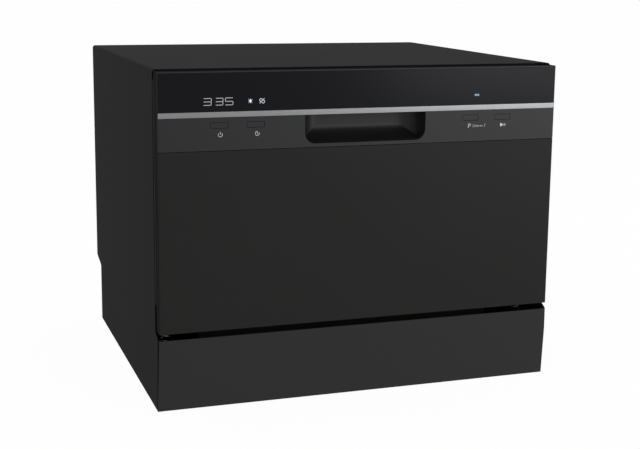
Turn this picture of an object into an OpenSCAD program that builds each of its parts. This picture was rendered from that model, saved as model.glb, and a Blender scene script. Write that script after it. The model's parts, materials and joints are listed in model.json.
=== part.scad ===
// Countertop dishwasher with one sliding rack, for six place settings.
// Millimetres. X runs to the right, Y to the back and Z up.
// The origin lies on the worktop, under the middle of the cabinet.

/* [Cabinet] */
// Width over the side panels
cab_w = 550; // [540:1:570]
// Depth from the door's face to the rear panel
cab_d = 500; // [495:1:530]
// Height from the worktop to the top panel
cab_h = 438; // [434:1:470]
// Thickness of the wrap's sheet
wrap_t = 1; // [0.8:0.1:1.4]
// Outside radius of the bends between the top and the sides
wrap_r = 4; // [3:0.5:8]
// Distance from the door's face back to the wrap's front edge
wrap_setback = 20; // [19:0.5:22]
// Gap between the worktop and the lower edges of the panels
floor_gap = 1; // [0.5:0.5:3]
// Depth of the recess for the hoses, at the bottom of the back
recess_d = 38; // [34:1:42]
// Height of the recess for the hoses
recess_h = 87; // [80:1:90]
// Rise of the curve that leads out of the recess
recess_rise = 13; // [8:1:16]

/* [Kick panel] */
// Height of the kick panel's top edge
kick_h = 96.5; // [94:0.5:99]
// Wall of the kick panel
kick_t = 2.5; // [2:0.1:3]
// How far the kick panel's foot stands back from its top edge
kick_slant = 9; // [5:0.5:10]
// How far the wrap's lower front edge stands back from the kick panel
kick_lip = 5; // [4:0.5:6]
// Radius of the kick panel's front corners
kick_r = 6; // [3:0.5:8]
// How much narrower the kick panel is at its top, on each side
kick_taper = 1.4; // [0.8:0.1:2]

/* [Door] */
// Gap between the kick panel and the door
door_gap_z = 8.5; // [7.5:0.5:9.5]
// How far the door's sides stand in from the side panels
door_inset = 1.5; // [1:0.1:2.5]
// How far the door's top stands below the top panel
door_top_gap = 2.5; // [2:0.1:4]
// Gap between the door's outer shell and the wrap's front edge
door_seam = 2.5; // [2:0.1:3]
// Thickness from the door's face to its inner liner
door_t = 52; // [50:0.5:54]
// Sheet of the outer door panel
panel_t = 1; // [0.8:0.1:1.4]
// Radius of the upright edges of the door's face
door_edge_r = 3; // [2:0.5:4]
// Height of the control fascia
fascia_h = 98.5; // [94:0.5:104]
// Seam between the fascia and the door panel
fascia_seam = 0.6; // [0.4:0.1:1]
// Wall of the fascia
fascia_t = 2.5; // [2:0.1:3]
// How far the liner's sides stand in from the door's sides
liner_inset = 23.5; // [22:0.5:25]
// Sheet of the liner
liner_t = 1; // [0.8:0.1:1.2]
// Height of the open strip between the liner's top and the door's top
liner_drop = 10; // [9:0.5:12]

/* [Hinge] */
// Distance of the hinge axis behind the door's face
hinge_back = 25; // [24:0.5:26]
// Clearance of the open door over the kick panel
hinge_rise = 1; // [0.8:0.1:2]
// Radius of the hinge pins
hinge_pin_r = 4; // [3:0.5:5]
// Running clearance of the hinge pins
pin_play = 0.05; // [0.03:0.01:0.08]
// Thickness of the hinge arms
arm_t = 3; // [2.5:0.5:3.5]
// Distance between the hinge arms' inner faces and the liner
arm_gap = 4; // [3:0.5:5]
// Length of an arm's tail behind the axis
tail_l = 34; // [32:1:35]

/* [Front of the fascia] */
// Height of the glossy band
gloss_h = 48.5; // [44:0.5:50]
// Thickness of the glossy band
gloss_t = 2; // [1.5:0.1:2.5]
// Bare border of the fascia above and beside the glossy band
gloss_border = 1.5; // [1:0.1:2]
// Height of the silver strip
strip_h = 7; // [5:0.5:8]
// Width of a button
button_w = 22; // [18:0.5:26]
// Height of a button
button_h = 7; // [6:0.5:10]
// Stroke of a button
button_stroke = 1; // [0.5:0.1:1.2]
// Gap around a button
button_play = 0.4; // [0.3:0.05:0.6]
// Distance of the outer buttons from the middle
button_outer_x = 195; // [190:1:204]
// Distance of the inner buttons from the middle
button_inner_x = 148; // [142:1:154]
// Distance of the buttons' middle below the silver strip
button_drop = 10; // [9:0.5:13]

/* [Handle pocket] */
// Half width of the pocket at its mouth
pocket_hw = 83; // [70:1:90]
// Height of the pocket's mouth
pocket_h = 37; // [30:1:37]
// Depth of the pocket
pocket_d = 32; // [26:1:34]
// Radius of the pocket's lower corners
pocket_r = 14; // [8:1:16]
// How much narrower the pocket is at its back, on each side
pocket_sweep = 26; // [10:1:30]
// Wall of the pocket
pocket_wall = 2; // [1.5:0.1:2.5]

/* [Latch] */
// Radius of the catch's pivot pin
catch_pin_r = 2; // [1.5:0.5:2.5]
// Width of the catch
catch_w = 12; // [8:1:14]
// Distance of the catch's pivot above the tub
catch_rise = 22; // [20:0.5:24]

/* [Tub] */
// Distance of the tub's side walls from the outside of the cabinet
tub_side_gap = 40; // [38:1:45]
// Distance of the tub's roof below the outside of the top panel
tub_roof_gap = 46.5; // [45:0.5:50]
// Sheet of the tub
tub_t = 0.8; // [0.6:0.1:1]
// Radius of the tub's upper corners
tub_r = 20; // [15:1:30]
// Gap between the tub's back and the rear panel
tub_back_gap = 36; // [34:1:42]
// Gap between the closed liner and the front frame
seal_gap = 7; // [6:0.5:8]
// Width of the side rails for the rack
rail_w = 24; // [22:1:26]
// Wall of the tub's plastic floor
floor_t = 3; // [2.5:0.5:3.5]
// Depth of the basin below the rails
basin_d = 28; // [26:1:30]

/* [Rack] */
// Radius of the rack's wires
wire_r = 1.6; // [1.4:0.1:1.9]
// Radius of the rack's top rail
rail_r = 2.3; // [2:0.1:2.8]
// Inside radius of the wires' bends
wire_bend = 9; // [7:0.5:12]
// Clearance of the rack's wires over the rails' level
rack_rise = 9; // [8:0.5:11]
// Height of the rack
rack_h = 110; // [100:1:130]
// Gap between the closed liner and the rack's top rail
rack_front_gap = 11; // [10:0.5:14]
// Gap between the rack's top rail and the tub's back
rack_back_gap = 15; // [12:1:25]
// Distance of the first cross wire behind the rack's top rail
rack_flare = 47; // [45:1:55]
// Radius of the long wires' bend at the front, which clears the opening door
front_bend = 50; // [48:1:56]
// Gap between the rack's sides and the tub
rack_side_gap = 17; // [16:0.5:20]
// Wires that run from side to side
cross_wires = 8; // [6:1:9]
// Wires that run from front to back
long_wires = 10; // [8:1:11]
// Radius of a roller
roller_r = 14; // [12:0.5:15]
// Width of a roller
roller_w = 8; // [6:0.5:9]
// Radius of a roller's axle
axle_r = 3; // [2.5:0.5:3.5]
// Distance of the front axles behind the hinge axis
axle_front = 121; // [120:1:130]
// Distance between the axles
axle_base = 250; // [230:1:256]
// Distance of each row of tines from the middle
tine_x = 43; // [36:1:50]
// Plate tines in a row
tine_count = 12; // [8:1:13]
// Height of a plate tine
tine_h = 78; // [60:1:90]

/* [Cutlery basket] */
// Width of the cutlery basket
cutlery_w = 66; // [56:1:70]
// Length of the cutlery basket
cutlery_l = 190; // [160:5:210]
// Height of the cutlery basket
cutlery_h = 112; // [100:1:120]

/* [Water system] */
// Gap between the spray arm's sweep and the nearest wall of the basin
arm_margin = 18; // [16:1:30]
// Width of the spray arm at its root
spray_w = 42; // [34:1:46]
// Thickness of the spray arm
spray_t = 10; // [8:0.5:11]
// Radius of the spray arm's bearing
spray_pin_r = 10; // [8:0.5:12]
// Outer radius of the filter cup
filter_r = 34; // [30:0.5:36]
// Radius of the salt cap
salt_r = 33; // [30:0.5:35]
// Outside radius of the water inlet's thread
inlet_r = 13.2; // [13:0.1:13.4]
// Outside radius of the drain outlet
drain_r = 9.5; // [9:0.1:10]
// Bore radius of the cord gland
gland_r = 4; // [3.5:0.1:4.5]

/* [Hidden] */
$fn = 48;
// Overhang of a cut past the surface that it opens
over = 1;
// Clearance between pieces that lie against each other
fit = 0.3;

// Outline of the cabinet
hw = cab_w / 2;
face_y = -cab_d / 2;
rear_y = cab_d / 2;
wrap_y = face_y + wrap_setback;
recess_y = rear_y - recess_d;
inner_hw = hw - wrap_t - fit;
// Places on the door and its hinge
door_hw = hw - door_inset;
liner_hw = door_hw - liner_inset;
door_z0 = kick_h + door_gap_z;
door_z1 = cab_h - door_top_gap;
fascia_z0 = door_z1 - fascia_h;
shell_y = wrap_y - door_seam;
axis_y = face_y + hinge_back;
axis_z = kick_h + hinge_rise + hinge_back;
liner_y = face_y + door_t;
rocker_r = door_t - hinge_back;
liner_z0 = door_z0 - 1;
liner_z1 = door_z1 - liner_drop;
// Level of the open door's liner, which carries the rack's rollers
rail_z = axis_z + rocker_r;
// Places in the tub
frame_y = liner_y + seal_gap;
frame_t = 1;
tub_y0 = frame_y + frame_t + 0.2;
tub_y1 = rear_y - tub_back_gap;
tub_hw = hw - tub_side_gap;
roof_z = cab_h - tub_roof_gap;
basin_z = rail_z - basin_d;
tray_floor = floor_gap + 5;
tray_t = 3;
tray_front = face_y + 24;
// Middle of the tub, above which the spray arm turns
arm_y = (tub_y0 + tub_y1) / 2;
arm_sweep = min(tub_hw - rail_w, (tub_y1 - tub_y0) / 2) - arm_margin;
spray_z = basin_z + 13;
filter_x = 92;
filter_y = arm_y + 40;
salt_x = -118;
salt_y = arm_y + 50;
// Places on the fascia
gloss_z1 = door_z1 - gloss_border;
gloss_z0 = gloss_z1 - gloss_h;
strip_z0 = gloss_z0 - strip_h;
button_z = strip_z0 - button_drop;
pocket_z1 = strip_z0;
pocket_z0 = pocket_z1 - pocket_h;
// Places on the rack
rack_hw = tub_hw - rack_side_gap;
side_x = rack_hw - rail_r - wire_r;
rack_z = rail_z + rack_rise;
rack_top = rack_z + rack_h;
rack_y0 = liner_y + rack_front_gap + rail_r;
rack_y1 = tub_y1 - rack_back_gap - rail_r;
axle_y = axis_y + axle_front;
axle_z = rail_z + roller_r + fit;
roller_x = tub_hw - 3 - roller_w;
weld = 0.3;
// Places of the latch
catch_y = liner_y - 8;
catch_z = roof_z + catch_rise;
striker_y = frame_y + 7;
// Places of the pumps
pump_y = -72;
pump_z = 56;
drain_y = filter_y;
drain_z = 50;
port_z = 46;

body_black = [0.17, 0.17, 0.17];
door_black = [0.14, 0.14, 0.14];
gloss_black = [0.06, 0.06, 0.07];
silver = [0.75, 0.76, 0.78];
steel = [0.72, 0.73, 0.74];
grey_plastic = [0.55, 0.57, 0.6];
white_plastic = [0.86, 0.87, 0.88];
blue_grey = [0.42, 0.47, 0.54];
rubber_grey = [0.2, 0.2, 0.21];

// Extrudes a shape drawn in X and Z from y0 to y1
module along_y(y0, y1) {
    translate([0, y1, 0]) rotate([90, 0, 0]) linear_extrude(y1 - y0) children();
}

// Extrudes a shape drawn in Y and Z from x0 to x1
module along_x(x0, x1) {
    translate([x0, 0, 0]) rotate([90, 0, 90]) linear_extrude(x1 - x0) children();
}

module along_z(z0, z1) {
    translate([0, 0, z0]) linear_extrude(z1 - z0) children();
}

// A box between two corners
module block(lo, hi) {
    translate(lo) cube(hi - lo);
}

// A rectangle between two corners, with round corners
module rounded(lo, hi, r) {
    translate([lo[0] + r, lo[1]]) square([hi[0] - lo[0] - 2 * r, hi[1] - lo[1]]);
    translate([lo[0], lo[1] + r]) square([hi[0] - lo[0], hi[1] - lo[1] - 2 * r]);
    for (x = [lo[0] + r, hi[0] - r], y = [lo[1] + r, hi[1] - r]) translate([x, y]) circle(r);
}

// A rectangle between two corners, with its two upper corners round
module arched(lo, hi, r) {
    translate(lo) square([hi[0] - lo[0], hi[1] - lo[1] - r]);
    translate([lo[0] + r, lo[1]]) square([hi[0] - lo[0] - 2 * r, hi[1] - lo[1]]);
    for (x = [lo[0] + r, hi[0] - r]) translate([x, hi[1] - r]) circle(r);
}

// A rod along X or along Y, from its start point
module rod_x(at, r, l) {
    translate(at) rotate([0, 90, 0]) cylinder(h = l, r = r);
}

module rod_y(at, r, l) {
    translate(at) rotate([-90, 0, 0]) cylinder(h = l, r = r);
}

// The part and its mirror image across X
module both_sides() {
    children();
    mirror([1, 0, 0]) children();
}

function unit(v) = v / norm(v);
function turn(a, b) = atan2(a[0] * b[1] - a[1] * b[0], a * b);
function lerp(a, b, t) = a + (b - a) * t;
// Points of a smooth step from p to q, in the plane of the points
function smooth_step(p, q, n) = [
    for (i = [0:n]) [lerp(p[0], q[0], (1 - cos(180 * i / n)) / 2), lerp(p[1], q[1], i / n)]
];

// One rod bent through the points of a flat path, in X and Y, with an inside bend for each corner
module bent_rod(path, r, bends) {
    last = len(path) - 1;
    bend = [for (i = [1:last - 1]) is_list(bends) ? bends[i - 1] : bends];
    dirs = [for (i = [0:last - 1]) unit(path[i + 1] - path[i])];
    turns = [for (i = [1:last - 1]) turn(dirs[i - 1], dirs[i])];
    cuts = concat([0], [for (i = [0:last - 2]) bend[i] * tan(abs(turns[i]) / 2)], [0]);
    for (i = [0:last - 1]) {
        start = path[i] + dirs[i] * cuts[i];
        l = norm(path[i + 1] - path[i]) - cuts[i] - cuts[i + 1];
        translate([start[0], start[1], 0]) rotate([0, 0, atan2(dirs[i][1], dirs[i][0])])
            rotate([0, 90, 0]) cylinder(h = l, r = r, $fn = 24);
    }
    for (i = [1:last - 1]) {
        a = turns[i - 1];
        side = a > 0 ? 1 : -1;
        normal = [-dirs[i - 1][1], dirs[i - 1][0]] * side;
        hub = path[i] - dirs[i - 1] * cuts[i] + normal * bend[i - 1];
        lead = a > 0 ? -normal : -[-dirs[i][1], dirs[i][0]] * side;
        translate([hub[0], hub[1], 0]) rotate([0, 0, atan2(lead[1], lead[0])])
            rotate_extrude(angle = abs(a), $fn = 32) translate([bend[i - 1], 0]) circle(r, $fn = 24);
    }
}

// ---------- Cabinet ----------

// Side view of a side panel: hose recess at the back, kick panel's lip at the front
module side_outline() {
    front_lip = smooth_step([face_y + kick_lip, kick_h - 1], [wrap_y, door_z0], 8);
    rear_step = smooth_step([recess_y, recess_h], [rear_y, recess_h + recess_rise], 10);
    polygon(concat(
        [[recess_y, floor_gap], [face_y + kick_slant + kick_lip, floor_gap]],
        front_lip,
        [[wrap_y, cab_h], [rear_y, cab_h]],
        [for (i = [len(rear_step) - 1:-1:0]) rear_step[i]]
    ));
}

module cabinet_wrap() {
    color(body_black) intersection() {
        along_y(face_y, rear_y) difference() {
            arched([-hw, floor_gap], [hw, cab_h], wrap_r);
            arched([-hw + wrap_t, floor_gap - over], [hw - wrap_t, cab_h - wrap_t], wrap_r - wrap_t);
        }
        along_x(-hw, hw) side_outline();
    }
}

module rear_panel() {
    sheet = 0.8;
    edge = 12;
    z0 = recess_h + recess_rise + fit;
    z1 = cab_h - wrap_t - fit;
    slots = 14;
    color(body_black) difference() {
        union() {
            along_y(rear_y - 1 - sheet, rear_y - 1)
                arched([-inner_hw, z0], [inner_hw, z1], wrap_r - wrap_t);
            // Flange along the lower edge
            block([-inner_hw, rear_y - 1 - edge, z0], [inner_hw, rear_y - 1, z0 + sheet]);
        }
        for (i = [0:slots - 1])
            along_y(rear_y - 1 - sheet - over, rear_y)
                rounded([i * 12 - slots * 6, z0 + 22], [i * 12 - slots * 6 + 4, z0 + 52], 1.9);
    }
}

// Curved roof of the hose recess, in side view
module recess_roof_outline() {
    low = smooth_step([recess_y - tray_t, recess_h], [rear_y - 2, recess_h + recess_rise], 10);
    polygon(concat(low, [for (i = [len(low) - 1:-1:0]) low[i] + [0, -tray_t]]));
}

module base_tray() {
    wall_z = 60;
    out_hw = inner_hw - fit;
    color(body_black) difference() {
        union() {
            difference() {
                block([-out_hw, tray_front, tray_floor], [out_hw, recess_y, recess_h - 1]);
                block(
                    [-out_hw + tray_t, tray_front + tray_t, tray_floor + tray_t],
                    [out_hw - tray_t, recess_y - tray_t, recess_h]
                );
                // The front and the sides are lower than the wall of the hose recess
                block([-hw, face_y, wall_z], [hw, recess_y - tray_t, recess_h]);
            }
            along_x(-out_hw, out_hw) recess_roof_outline();
            // Ribs that stiffen the floor
            for (x = [15 - foot_x, 0, foot_x])
                block([x - 1.2, tray_front + 1, tray_floor + 1], [x + 1.2, frame_y - 1, tray_floor + 13]);
            for (x = [-foot_x, foot_x], y = [foot_y0, foot_y1])
                translate([x, y, tray_floor]) cylinder(h = 12, r = foot_boss_r);
        }
        rod_y([inlet_x, recess_y - tray_t - over, port_z], inlet_r + 1.5, tray_t + 2 * over);
        rod_y([outlet_x, recess_y - tray_t - over, port_z], drain_r + 1.5, tray_t + 2 * over);
        rod_y([gland_x, recess_y - tray_t - over, port_z], gland_r + 3.2, tray_t + 2 * over);
        for (x = [-foot_x, foot_x], y = [foot_y0, foot_y1])
            translate([x, y, tray_floor - over]) cylinder(h = 12, r = foot_stem_r + 0.1);
    }
}

module kick_panel() {
    depth = 30;
    back = 22;
    color(door_black) difference() {
        intersection() {
            along_x(-hw, hw) polygon([
                [face_y, kick_h], [face_y + kick_slant, floor_gap],
                [face_y + back, floor_gap], [face_y + back, kick_h]
            ]);
            along_y(face_y - over, face_y + depth) polygon([
                [-hw, floor_gap], [hw, floor_gap],
                [hw - kick_taper, kick_h], [-hw + kick_taper, kick_h]
            ]);
            union() {
                // The front lies proud of the side panels, and the tongue goes in between them
                along_z(0, cab_h) intersection() {
                    rounded([-hw, face_y], [hw, face_y + 60], kick_r);
                    translate([-hw, face_y]) square([cab_w, 60]);
                }
            }
        }
        // Hollow behind the front wall
        along_x(-hw + kick_t + kick_taper, hw - kick_t - kick_taper) polygon([
            [face_y + kick_t, kick_h + over], [face_y + kick_slant + kick_t, floor_gap - over],
            [face_y + depth, floor_gap - over], [face_y + depth, kick_h + over]
        ]);
        // Room for the door's lower edge as it swings
        rod_x([-hw - over, axis_y, axis_z], swing_r + 0.8, cab_w + 2 * over);
        // Room for the front edges of the side panels
        both_sides() along_x(inner_hw - fit, hw + over) polygon([
            [face_y + kick_lip - fit, kick_h + over],
            [face_y + kick_slant + kick_lip - fit, floor_gap - over],
            [face_y + depth, floor_gap - over], [face_y + depth, kick_h + over]
        ]);
    }
}

// Sheet across the front under the tub
module front_crossmember() {
    y = frame_y + 3;
    // It ends short of the bosses for the feet
    w = foot_x - foot_boss_r - 2;
    color(steel) difference() {
        union() {
            block([-w, y, tray_floor + tray_t + 0.1], [w, y + 1, basin_z - floor_t - fit]);
            block([-w, y, basin_z - floor_t - fit - 1], [w, y + 14, basin_z - floor_t - fit]);
        }
        for (x = [-150, -50, 50, 150])
            along_y(y - over, y + 1 + over) rounded([x - 30, 30], [x + 30, 70], 8);
    }
}

foot_x = hw - 50;
foot_y0 = face_y + 50;
foot_y1 = recess_y - 32;
foot_r = 17;
foot_stem_r = 4;
foot_boss_r = 14;

module feet() {
    color(rubber_grey) for (x = [-foot_x, foot_x], y = [foot_y0, foot_y1]) translate([x, y, 0]) {
        rotate_extrude() polygon([
            [0, 0], [foot_r - 1, 0], [foot_r, 1], [foot_r, tray_floor - 1.5],
            [foot_r - 1.5, tray_floor - fit], [foot_stem_r, tray_floor - fit],
            [foot_stem_r, tray_floor + 10], [0, tray_floor + 10]
        ]);
    }
}

module front_frame() {
    leg_z = axis_z + tail_l + 8;
    top = cab_h - wrap_t - fit;
    color(steel) difference() {
        union() {
            along_y(frame_y, frame_y + frame_t) difference() {
                arched([-inner_hw, leg_z], [inner_hw, top], wrap_r - wrap_t);
                arched([-tub_hw, leg_z - over], [tub_hw, roof_z], tub_r);
            }
            // Stiffening flange along the top
            block([-inner_hw + 6, frame_y, top - 1], [inner_hw - 6, frame_y + 12, top]);
        }
        // Slot for the latch's catch
        block(
            [-catch_w / 2 - 2, frame_y - over, catch_z - 9],
            [catch_w / 2 + 2, frame_y + frame_t + over, catch_z + 11]
        );
    }
}

// Bent plate with the bar that the catch hooks over
module striker() {
    color(silver) union() {
        rod_x([-catch_w / 2 - 4, striker_y, catch_z + 8], 2, catch_w + 8);
        both_sides() block(
            [catch_w / 2 + 2, frame_y + frame_t, catch_z + 3],
            [catch_w / 2 + 4, striker_y + 3, catch_z + 12]
        );
        block(
            [-catch_w / 2 - 4, frame_y + frame_t, catch_z + 11.5],
            [catch_w / 2 + 4, striker_y + 3, catch_z + 13]
        );
    }
}

module tub_wrap() {
    low = rail_z - 20;
    color(steel) along_y(tub_y0, tub_y1) difference() {
        arched([-tub_hw - tub_t, low], [tub_hw + tub_t, roof_z + tub_t], tub_r + tub_t);
        arched([-tub_hw, low - over], [tub_hw, roof_z], tub_r);
    }
}

// Back sheet of the tub, with a pressed field
module tub_back() {
    low = rail_z - 20;
    press = 3;
    w = tub_hw - 65;
    z0 = rail_z + 60;
    z1 = roof_z - 40;
    color(steel) difference() {
        union() {
            along_y(tub_y1, tub_y1 + tub_t)
                arched([-tub_hw - tub_t, low], [tub_hw + tub_t, roof_z + tub_t], tub_r + tub_t);
            along_y(tub_y1, tub_y1 + press + tub_t) rounded([-w, z0], [w, z1], 24);
        }
        along_y(tub_y1 - over, tub_y1 + press)
            rounded([-w + tub_t, z0 + tub_t], [w - tub_t, z1 - tub_t], 24 - tub_t);
    }
}

module tub_floor() {
    out_hw = tub_hw - fit;
    basin_hw = tub_hw - rail_w;
    y0 = frame_y - 0.5;
    color(grey_plastic) difference() {
        union() {
            difference() {
                block([-out_hw, y0, basin_z - floor_t], [out_hw, tub_y1 - fit, rail_z]);
                // Space under the side rails, open to the sides
                both_sides() block(
                    [basin_hw + floor_t, y0 - over, basin_z - floor_t - over],
                    [tub_hw + over, tub_y1, rail_z - floor_t]
                );
            }
        }
        // The basin
        along_z(basin_z, rail_z + over)
            rounded([-basin_hw, y0 + floor_t], [basin_hw, tub_y1 - fit - floor_t - 4], 18);
        translate([filter_x, filter_y, basin_z - floor_t - over])
            cylinder(h = floor_t + 2 * over, r = filter_r + 4);
        translate([0, arm_y, basin_z - floor_t - over])
            cylinder(h = floor_t + 2 * over, r = spray_pin_r + 6);
        translate([salt_x, salt_y, basin_z - floor_t - over])
            cylinder(h = floor_t + 2 * over, r = salt_r - 2);
    }
}

// Bulb seal round the tub's mouth, and the lip under the door
module door_seals() {
    w = 9;
    low = rail_z - 16;
    color(rubber_grey) {
        along_y(liner_y + fit, frame_y - 0.1) difference() {
            arched([-tub_hw - 2 - w, low + 18], [tub_hw + 2 + w, roof_z + 2 + w], tub_r + 2 + w);
            arched([-tub_hw - 2, low + 18 - over], [tub_hw + 2, roof_z + 2], tub_r + 2);
        }
        difference() {
            block([-tub_hw + 2, liner_y + fit, low], [tub_hw - 2, frame_y - 0.8, rail_z - 4]);
            rod_x([-tub_hw, axis_y, axis_z], rocker_r + fit, 2 * tub_hw);
        }
    }
}

module tub_insulation() {
    felt = 4;
    color([0.12, 0.12, 0.12]) along_y(tub_y0 + 6, tub_y1 - 10) difference() {
        arched(
            [-tub_hw - tub_t - fit - felt, rail_z + 40],
            [tub_hw + tub_t + fit + felt, roof_z + tub_t + fit + felt], tub_r + tub_t + fit + felt
        );
        arched(
            [-tub_hw - tub_t - fit, rail_z + 40 - over],
            [tub_hw + tub_t + fit, roof_z + tub_t + fit], tub_r + tub_t + fit
        );
    }
}

// ---------- Hinge ----------

spring_r = 6;
spring_wire = 0.9;
arm_x = liner_hw + arm_gap;
spring_x = arm_x + arm_t / 2;
// The springs hang between the arms and the brackets' plates
bracket_t = 2;
bracket_x = spring_x + spring_r + spring_wire + 0.4;
// Radius of the arms' eyes, which stay behind the door's shell
eye_r = axis_y - shell_y - 0.1;
// Radius that the door's lower edge sweeps round the axis, and the Y behind that path
swing_r = norm([hinge_back, axis_z - door_z0]);
swing_y = axis_y + swing_r + 2;
spring_z0 = tray_floor + tray_t + 12;
tail_y = axis_y + tail_l;
tail_z = axis_z - 13;

module hinge_brackets() {
    color(steel) both_sides() {
        // The plate reaches over the path of the door's lower edge
        along_x(bracket_x, bracket_x + bracket_t) difference() {
            union() {
                translate([axis_y, axis_z]) circle(eye_r - 1);
                polygon([
                    [axis_y, axis_z - eye_r + 1], [swing_y, axis_z - eye_r + 1],
                    [swing_y, tray_floor + tray_t + 0.1], [swing_y + 34, tray_floor + tray_t + 0.1],
                    [swing_y + 34, axis_z + 14], [swing_y - 10, axis_z + 14],
                    [axis_y, axis_z + eye_r - 1]
                ]);
            }
            translate([swing_y + 17, axis_z - 55]) circle(10);
        }
        // Foot on the tray
        block(
            [bracket_x - 14, swing_y + 2, tray_floor + tray_t + 0.1],
            [bracket_x + 1, swing_y + 32, tray_floor + tray_t + 2.1]
        );
        // Hook plate for the lower end of the spring
        block([bracket_x - 9, tail_y - 9, spring_z0 - 3], [bracket_x + 1, tail_y + 3, spring_z0 - 1]);
        // Pin with its head, on which the door turns
        rod_x([arm_x - 1, axis_y, axis_z], hinge_pin_r, bracket_x + 1 - arm_x + 1);
        rod_x([arm_x - 2.3, axis_y, axis_z], hinge_pin_r + 2, 2);
    }
}

module hinge_arms() {
    color(steel) both_sides() difference() {
        union() {
            along_x(arm_x, arm_x + arm_t) union() {
                translate([axis_y, axis_z]) circle(eye_r);
                polygon([
                    [axis_y - 6, axis_z], [axis_y + eye_r, axis_z], [axis_y + 12, axis_z + 30],
                    [axis_y + 12, axis_z + 90], [axis_y + 8, axis_z + 150], [axis_y - 6, axis_z + 150]
                ]);
                polygon([
                    [axis_y, axis_z - eye_r], [tail_y, tail_z - 5], [tail_y + 3, tail_z],
                    [tail_y, tail_z + 5], [axis_y, axis_z + eye_r]
                ]);
            }
            // Tabs on the liner's sides
            for (z = [axis_z + 45, axis_z + 130])
                block([liner_hw + 0.1, axis_y - 4, z - 8], [arm_x + 1, axis_y + 7, z + 8]);
        }
        rod_x([arm_x - over, axis_y, axis_z], hinge_pin_r + pin_play, arm_t + 2 * over);
        rod_x([arm_x - over, tail_y - 3, tail_z], 2, arm_t + 2 * over);
    }
}

spring_turns = 12;
spring_l = tail_z - 6 - spring_z0;
spring_rings = 8;
spring_sides = 6;
// Centre line of the coil: half a turn more than spring_turns would hide its ends
function coil(i) = let (a = 360 * i / spring_rings, n = spring_turns * spring_rings)
    [spring_r * cos(a), spring_r * sin(a), spring_l * i / n];
function coil_ring(i) = let (
        a = 360 * i / spring_rings,
        slope = atan2(spring_l / spring_turns, 2 * PI * spring_r),
        out = [cos(a), sin(a), 0],
        rise = [sin(a) * sin(slope), -cos(a) * sin(slope), cos(slope)]
    ) [for (k = [0:spring_sides - 1]) let (b = 360 * k / spring_sides)
        coil(i) + spring_wire * (cos(b) * out + sin(b) * rise)];

// A tube through rings of points, each with the same number of sides
module tube(rings) {
    n = len(rings);
    s = len(rings[0]);
    points = [for (ring = rings) each ring];
    sides = [for (i = [0:n - 2], k = [0:s - 1]) let (
            a = i * s + k, b = i * s + (k + 1) % s, c = b + s, d = a + s
        ) each [[a, b, c], [a, c, d]]];
    ends = concat(
        [for (k = [1:s - 2]) [0, k + 1, k]],
        [for (k = [1:s - 2]) [(n - 1) * s, (n - 1) * s + k, (n - 1) * s + k + 1]]
    );
    polyhedron(points, concat(sides, ends));
}

// Tension springs that balance the door
module door_springs() {
    gap = spring_l / spring_turns - 2 * spring_wire;
    echo(least_gap_of_the_coils = gap);
    color(silver) both_sides() translate([spring_x, tail_y - 3, spring_z0])
        tube([for (i = [0:spring_turns * spring_rings]) coil_ring(i)]);
}

// ---------- Water system ----------

hub_r = spray_pin_r + 6;
bowl_r = filter_r + 4;

module sump() {
    top = basin_z - floor_t - fit;
    low = 38;
    wall = 3;
    duct_h = 12;
    color(white_plastic) difference() {
        union() {
            translate([filter_x, filter_y, low]) cylinder(h = top - low, r = bowl_r + wall);
            translate([filter_x, filter_y, top - 4]) cylinder(h = 4, r = bowl_r + 12);
            // Duct from the pump's outlet to the spray arm's hub
            block([-hub_r, arm_y - hub_r, top - duct_h], [filter_x, arm_y + hub_r, top]);
            block([riser_x - 14, pump_y - 14, top - duct_h], [riser_x + 14, arm_y, top]);
            translate([0, arm_y, top - 22]) cylinder(h = 22, r = hub_r + wall);
            translate([riser_x, pump_y, riser_z + 0.2]) cylinder(h = top - 2 - riser_z, r = riser_r);
            // Ports for the suction hose and the drain pump
            rod_y([filter_x, arm_y - 14, pump_z], port_r, filter_y - arm_y);
            rod_x([filter_x + bowl_r, filter_y, drain_z], port_r, 18);
        }
        translate([filter_x, filter_y, low + wall]) cylinder(h = top - low, r = bowl_r);
        translate([0, arm_y, top - 19]) cylinder(h = 22, r = spray_pin_r);
        block([-8, arm_y - 8, top - duct_h + 2.5], [riser_x + 8, arm_y + 8, top - 2.5]);
        block([riser_x - 8, pump_y - 8, top - duct_h + 2.5], [riser_x + 8, arm_y + 8, top - 2.5]);
        translate([riser_x, pump_y, riser_z - over]) cylinder(h = top - 4 - riser_z, r = riser_r - 3);
        rod_y([filter_x, arm_y - 14 - over, pump_z], port_r - 2.5, filter_y - arm_y);
        rod_x([filter_x, filter_y, drain_z], port_r - 2.5, bowl_r + 18 + over);
    }
}

// Fixed bearing of the spray arm
module spray_hub() {
    z0 = basin_z - floor_t;
    color(grey_plastic) difference() {
        union() {
            translate([0, arm_y, z0]) cylinder(h = spray_z - z0 - fit, r = spray_pin_r + 4);
            translate([0, arm_y, z0]) cylinder(h = spray_z + spray_t + 1 - z0, r = spray_pin_r);
            translate([0, arm_y, spray_z + spray_t + fit]) cylinder(h = 3, r = spray_pin_r + 3);
        }
        translate([0, arm_y, z0 - over]) cylinder(h = spray_z + 4 - z0, r = spray_pin_r - 4);
    }
}

// Plan of one blade: it tapers and sweeps back a little towards its tip
module blade_plan() {
    tip_r = spray_w / 2 - 8;
    reach = arm_sweep - tip_r;
    n = 8;
    left = [for (i = [0:n]) let (t = i / n)
        [reach * t, lerp(spray_w / 2, tip_r, t) + 10 * t * t]];
    right = [for (i = [n:-1:0]) let (t = i / n)
        [reach * t, -lerp(spray_w / 2, tip_r, t) + 10 * t * t]];
    polygon(concat(left, right));
    translate([sqrt(reach * reach - 100), 10]) circle(tip_r);
}

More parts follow.
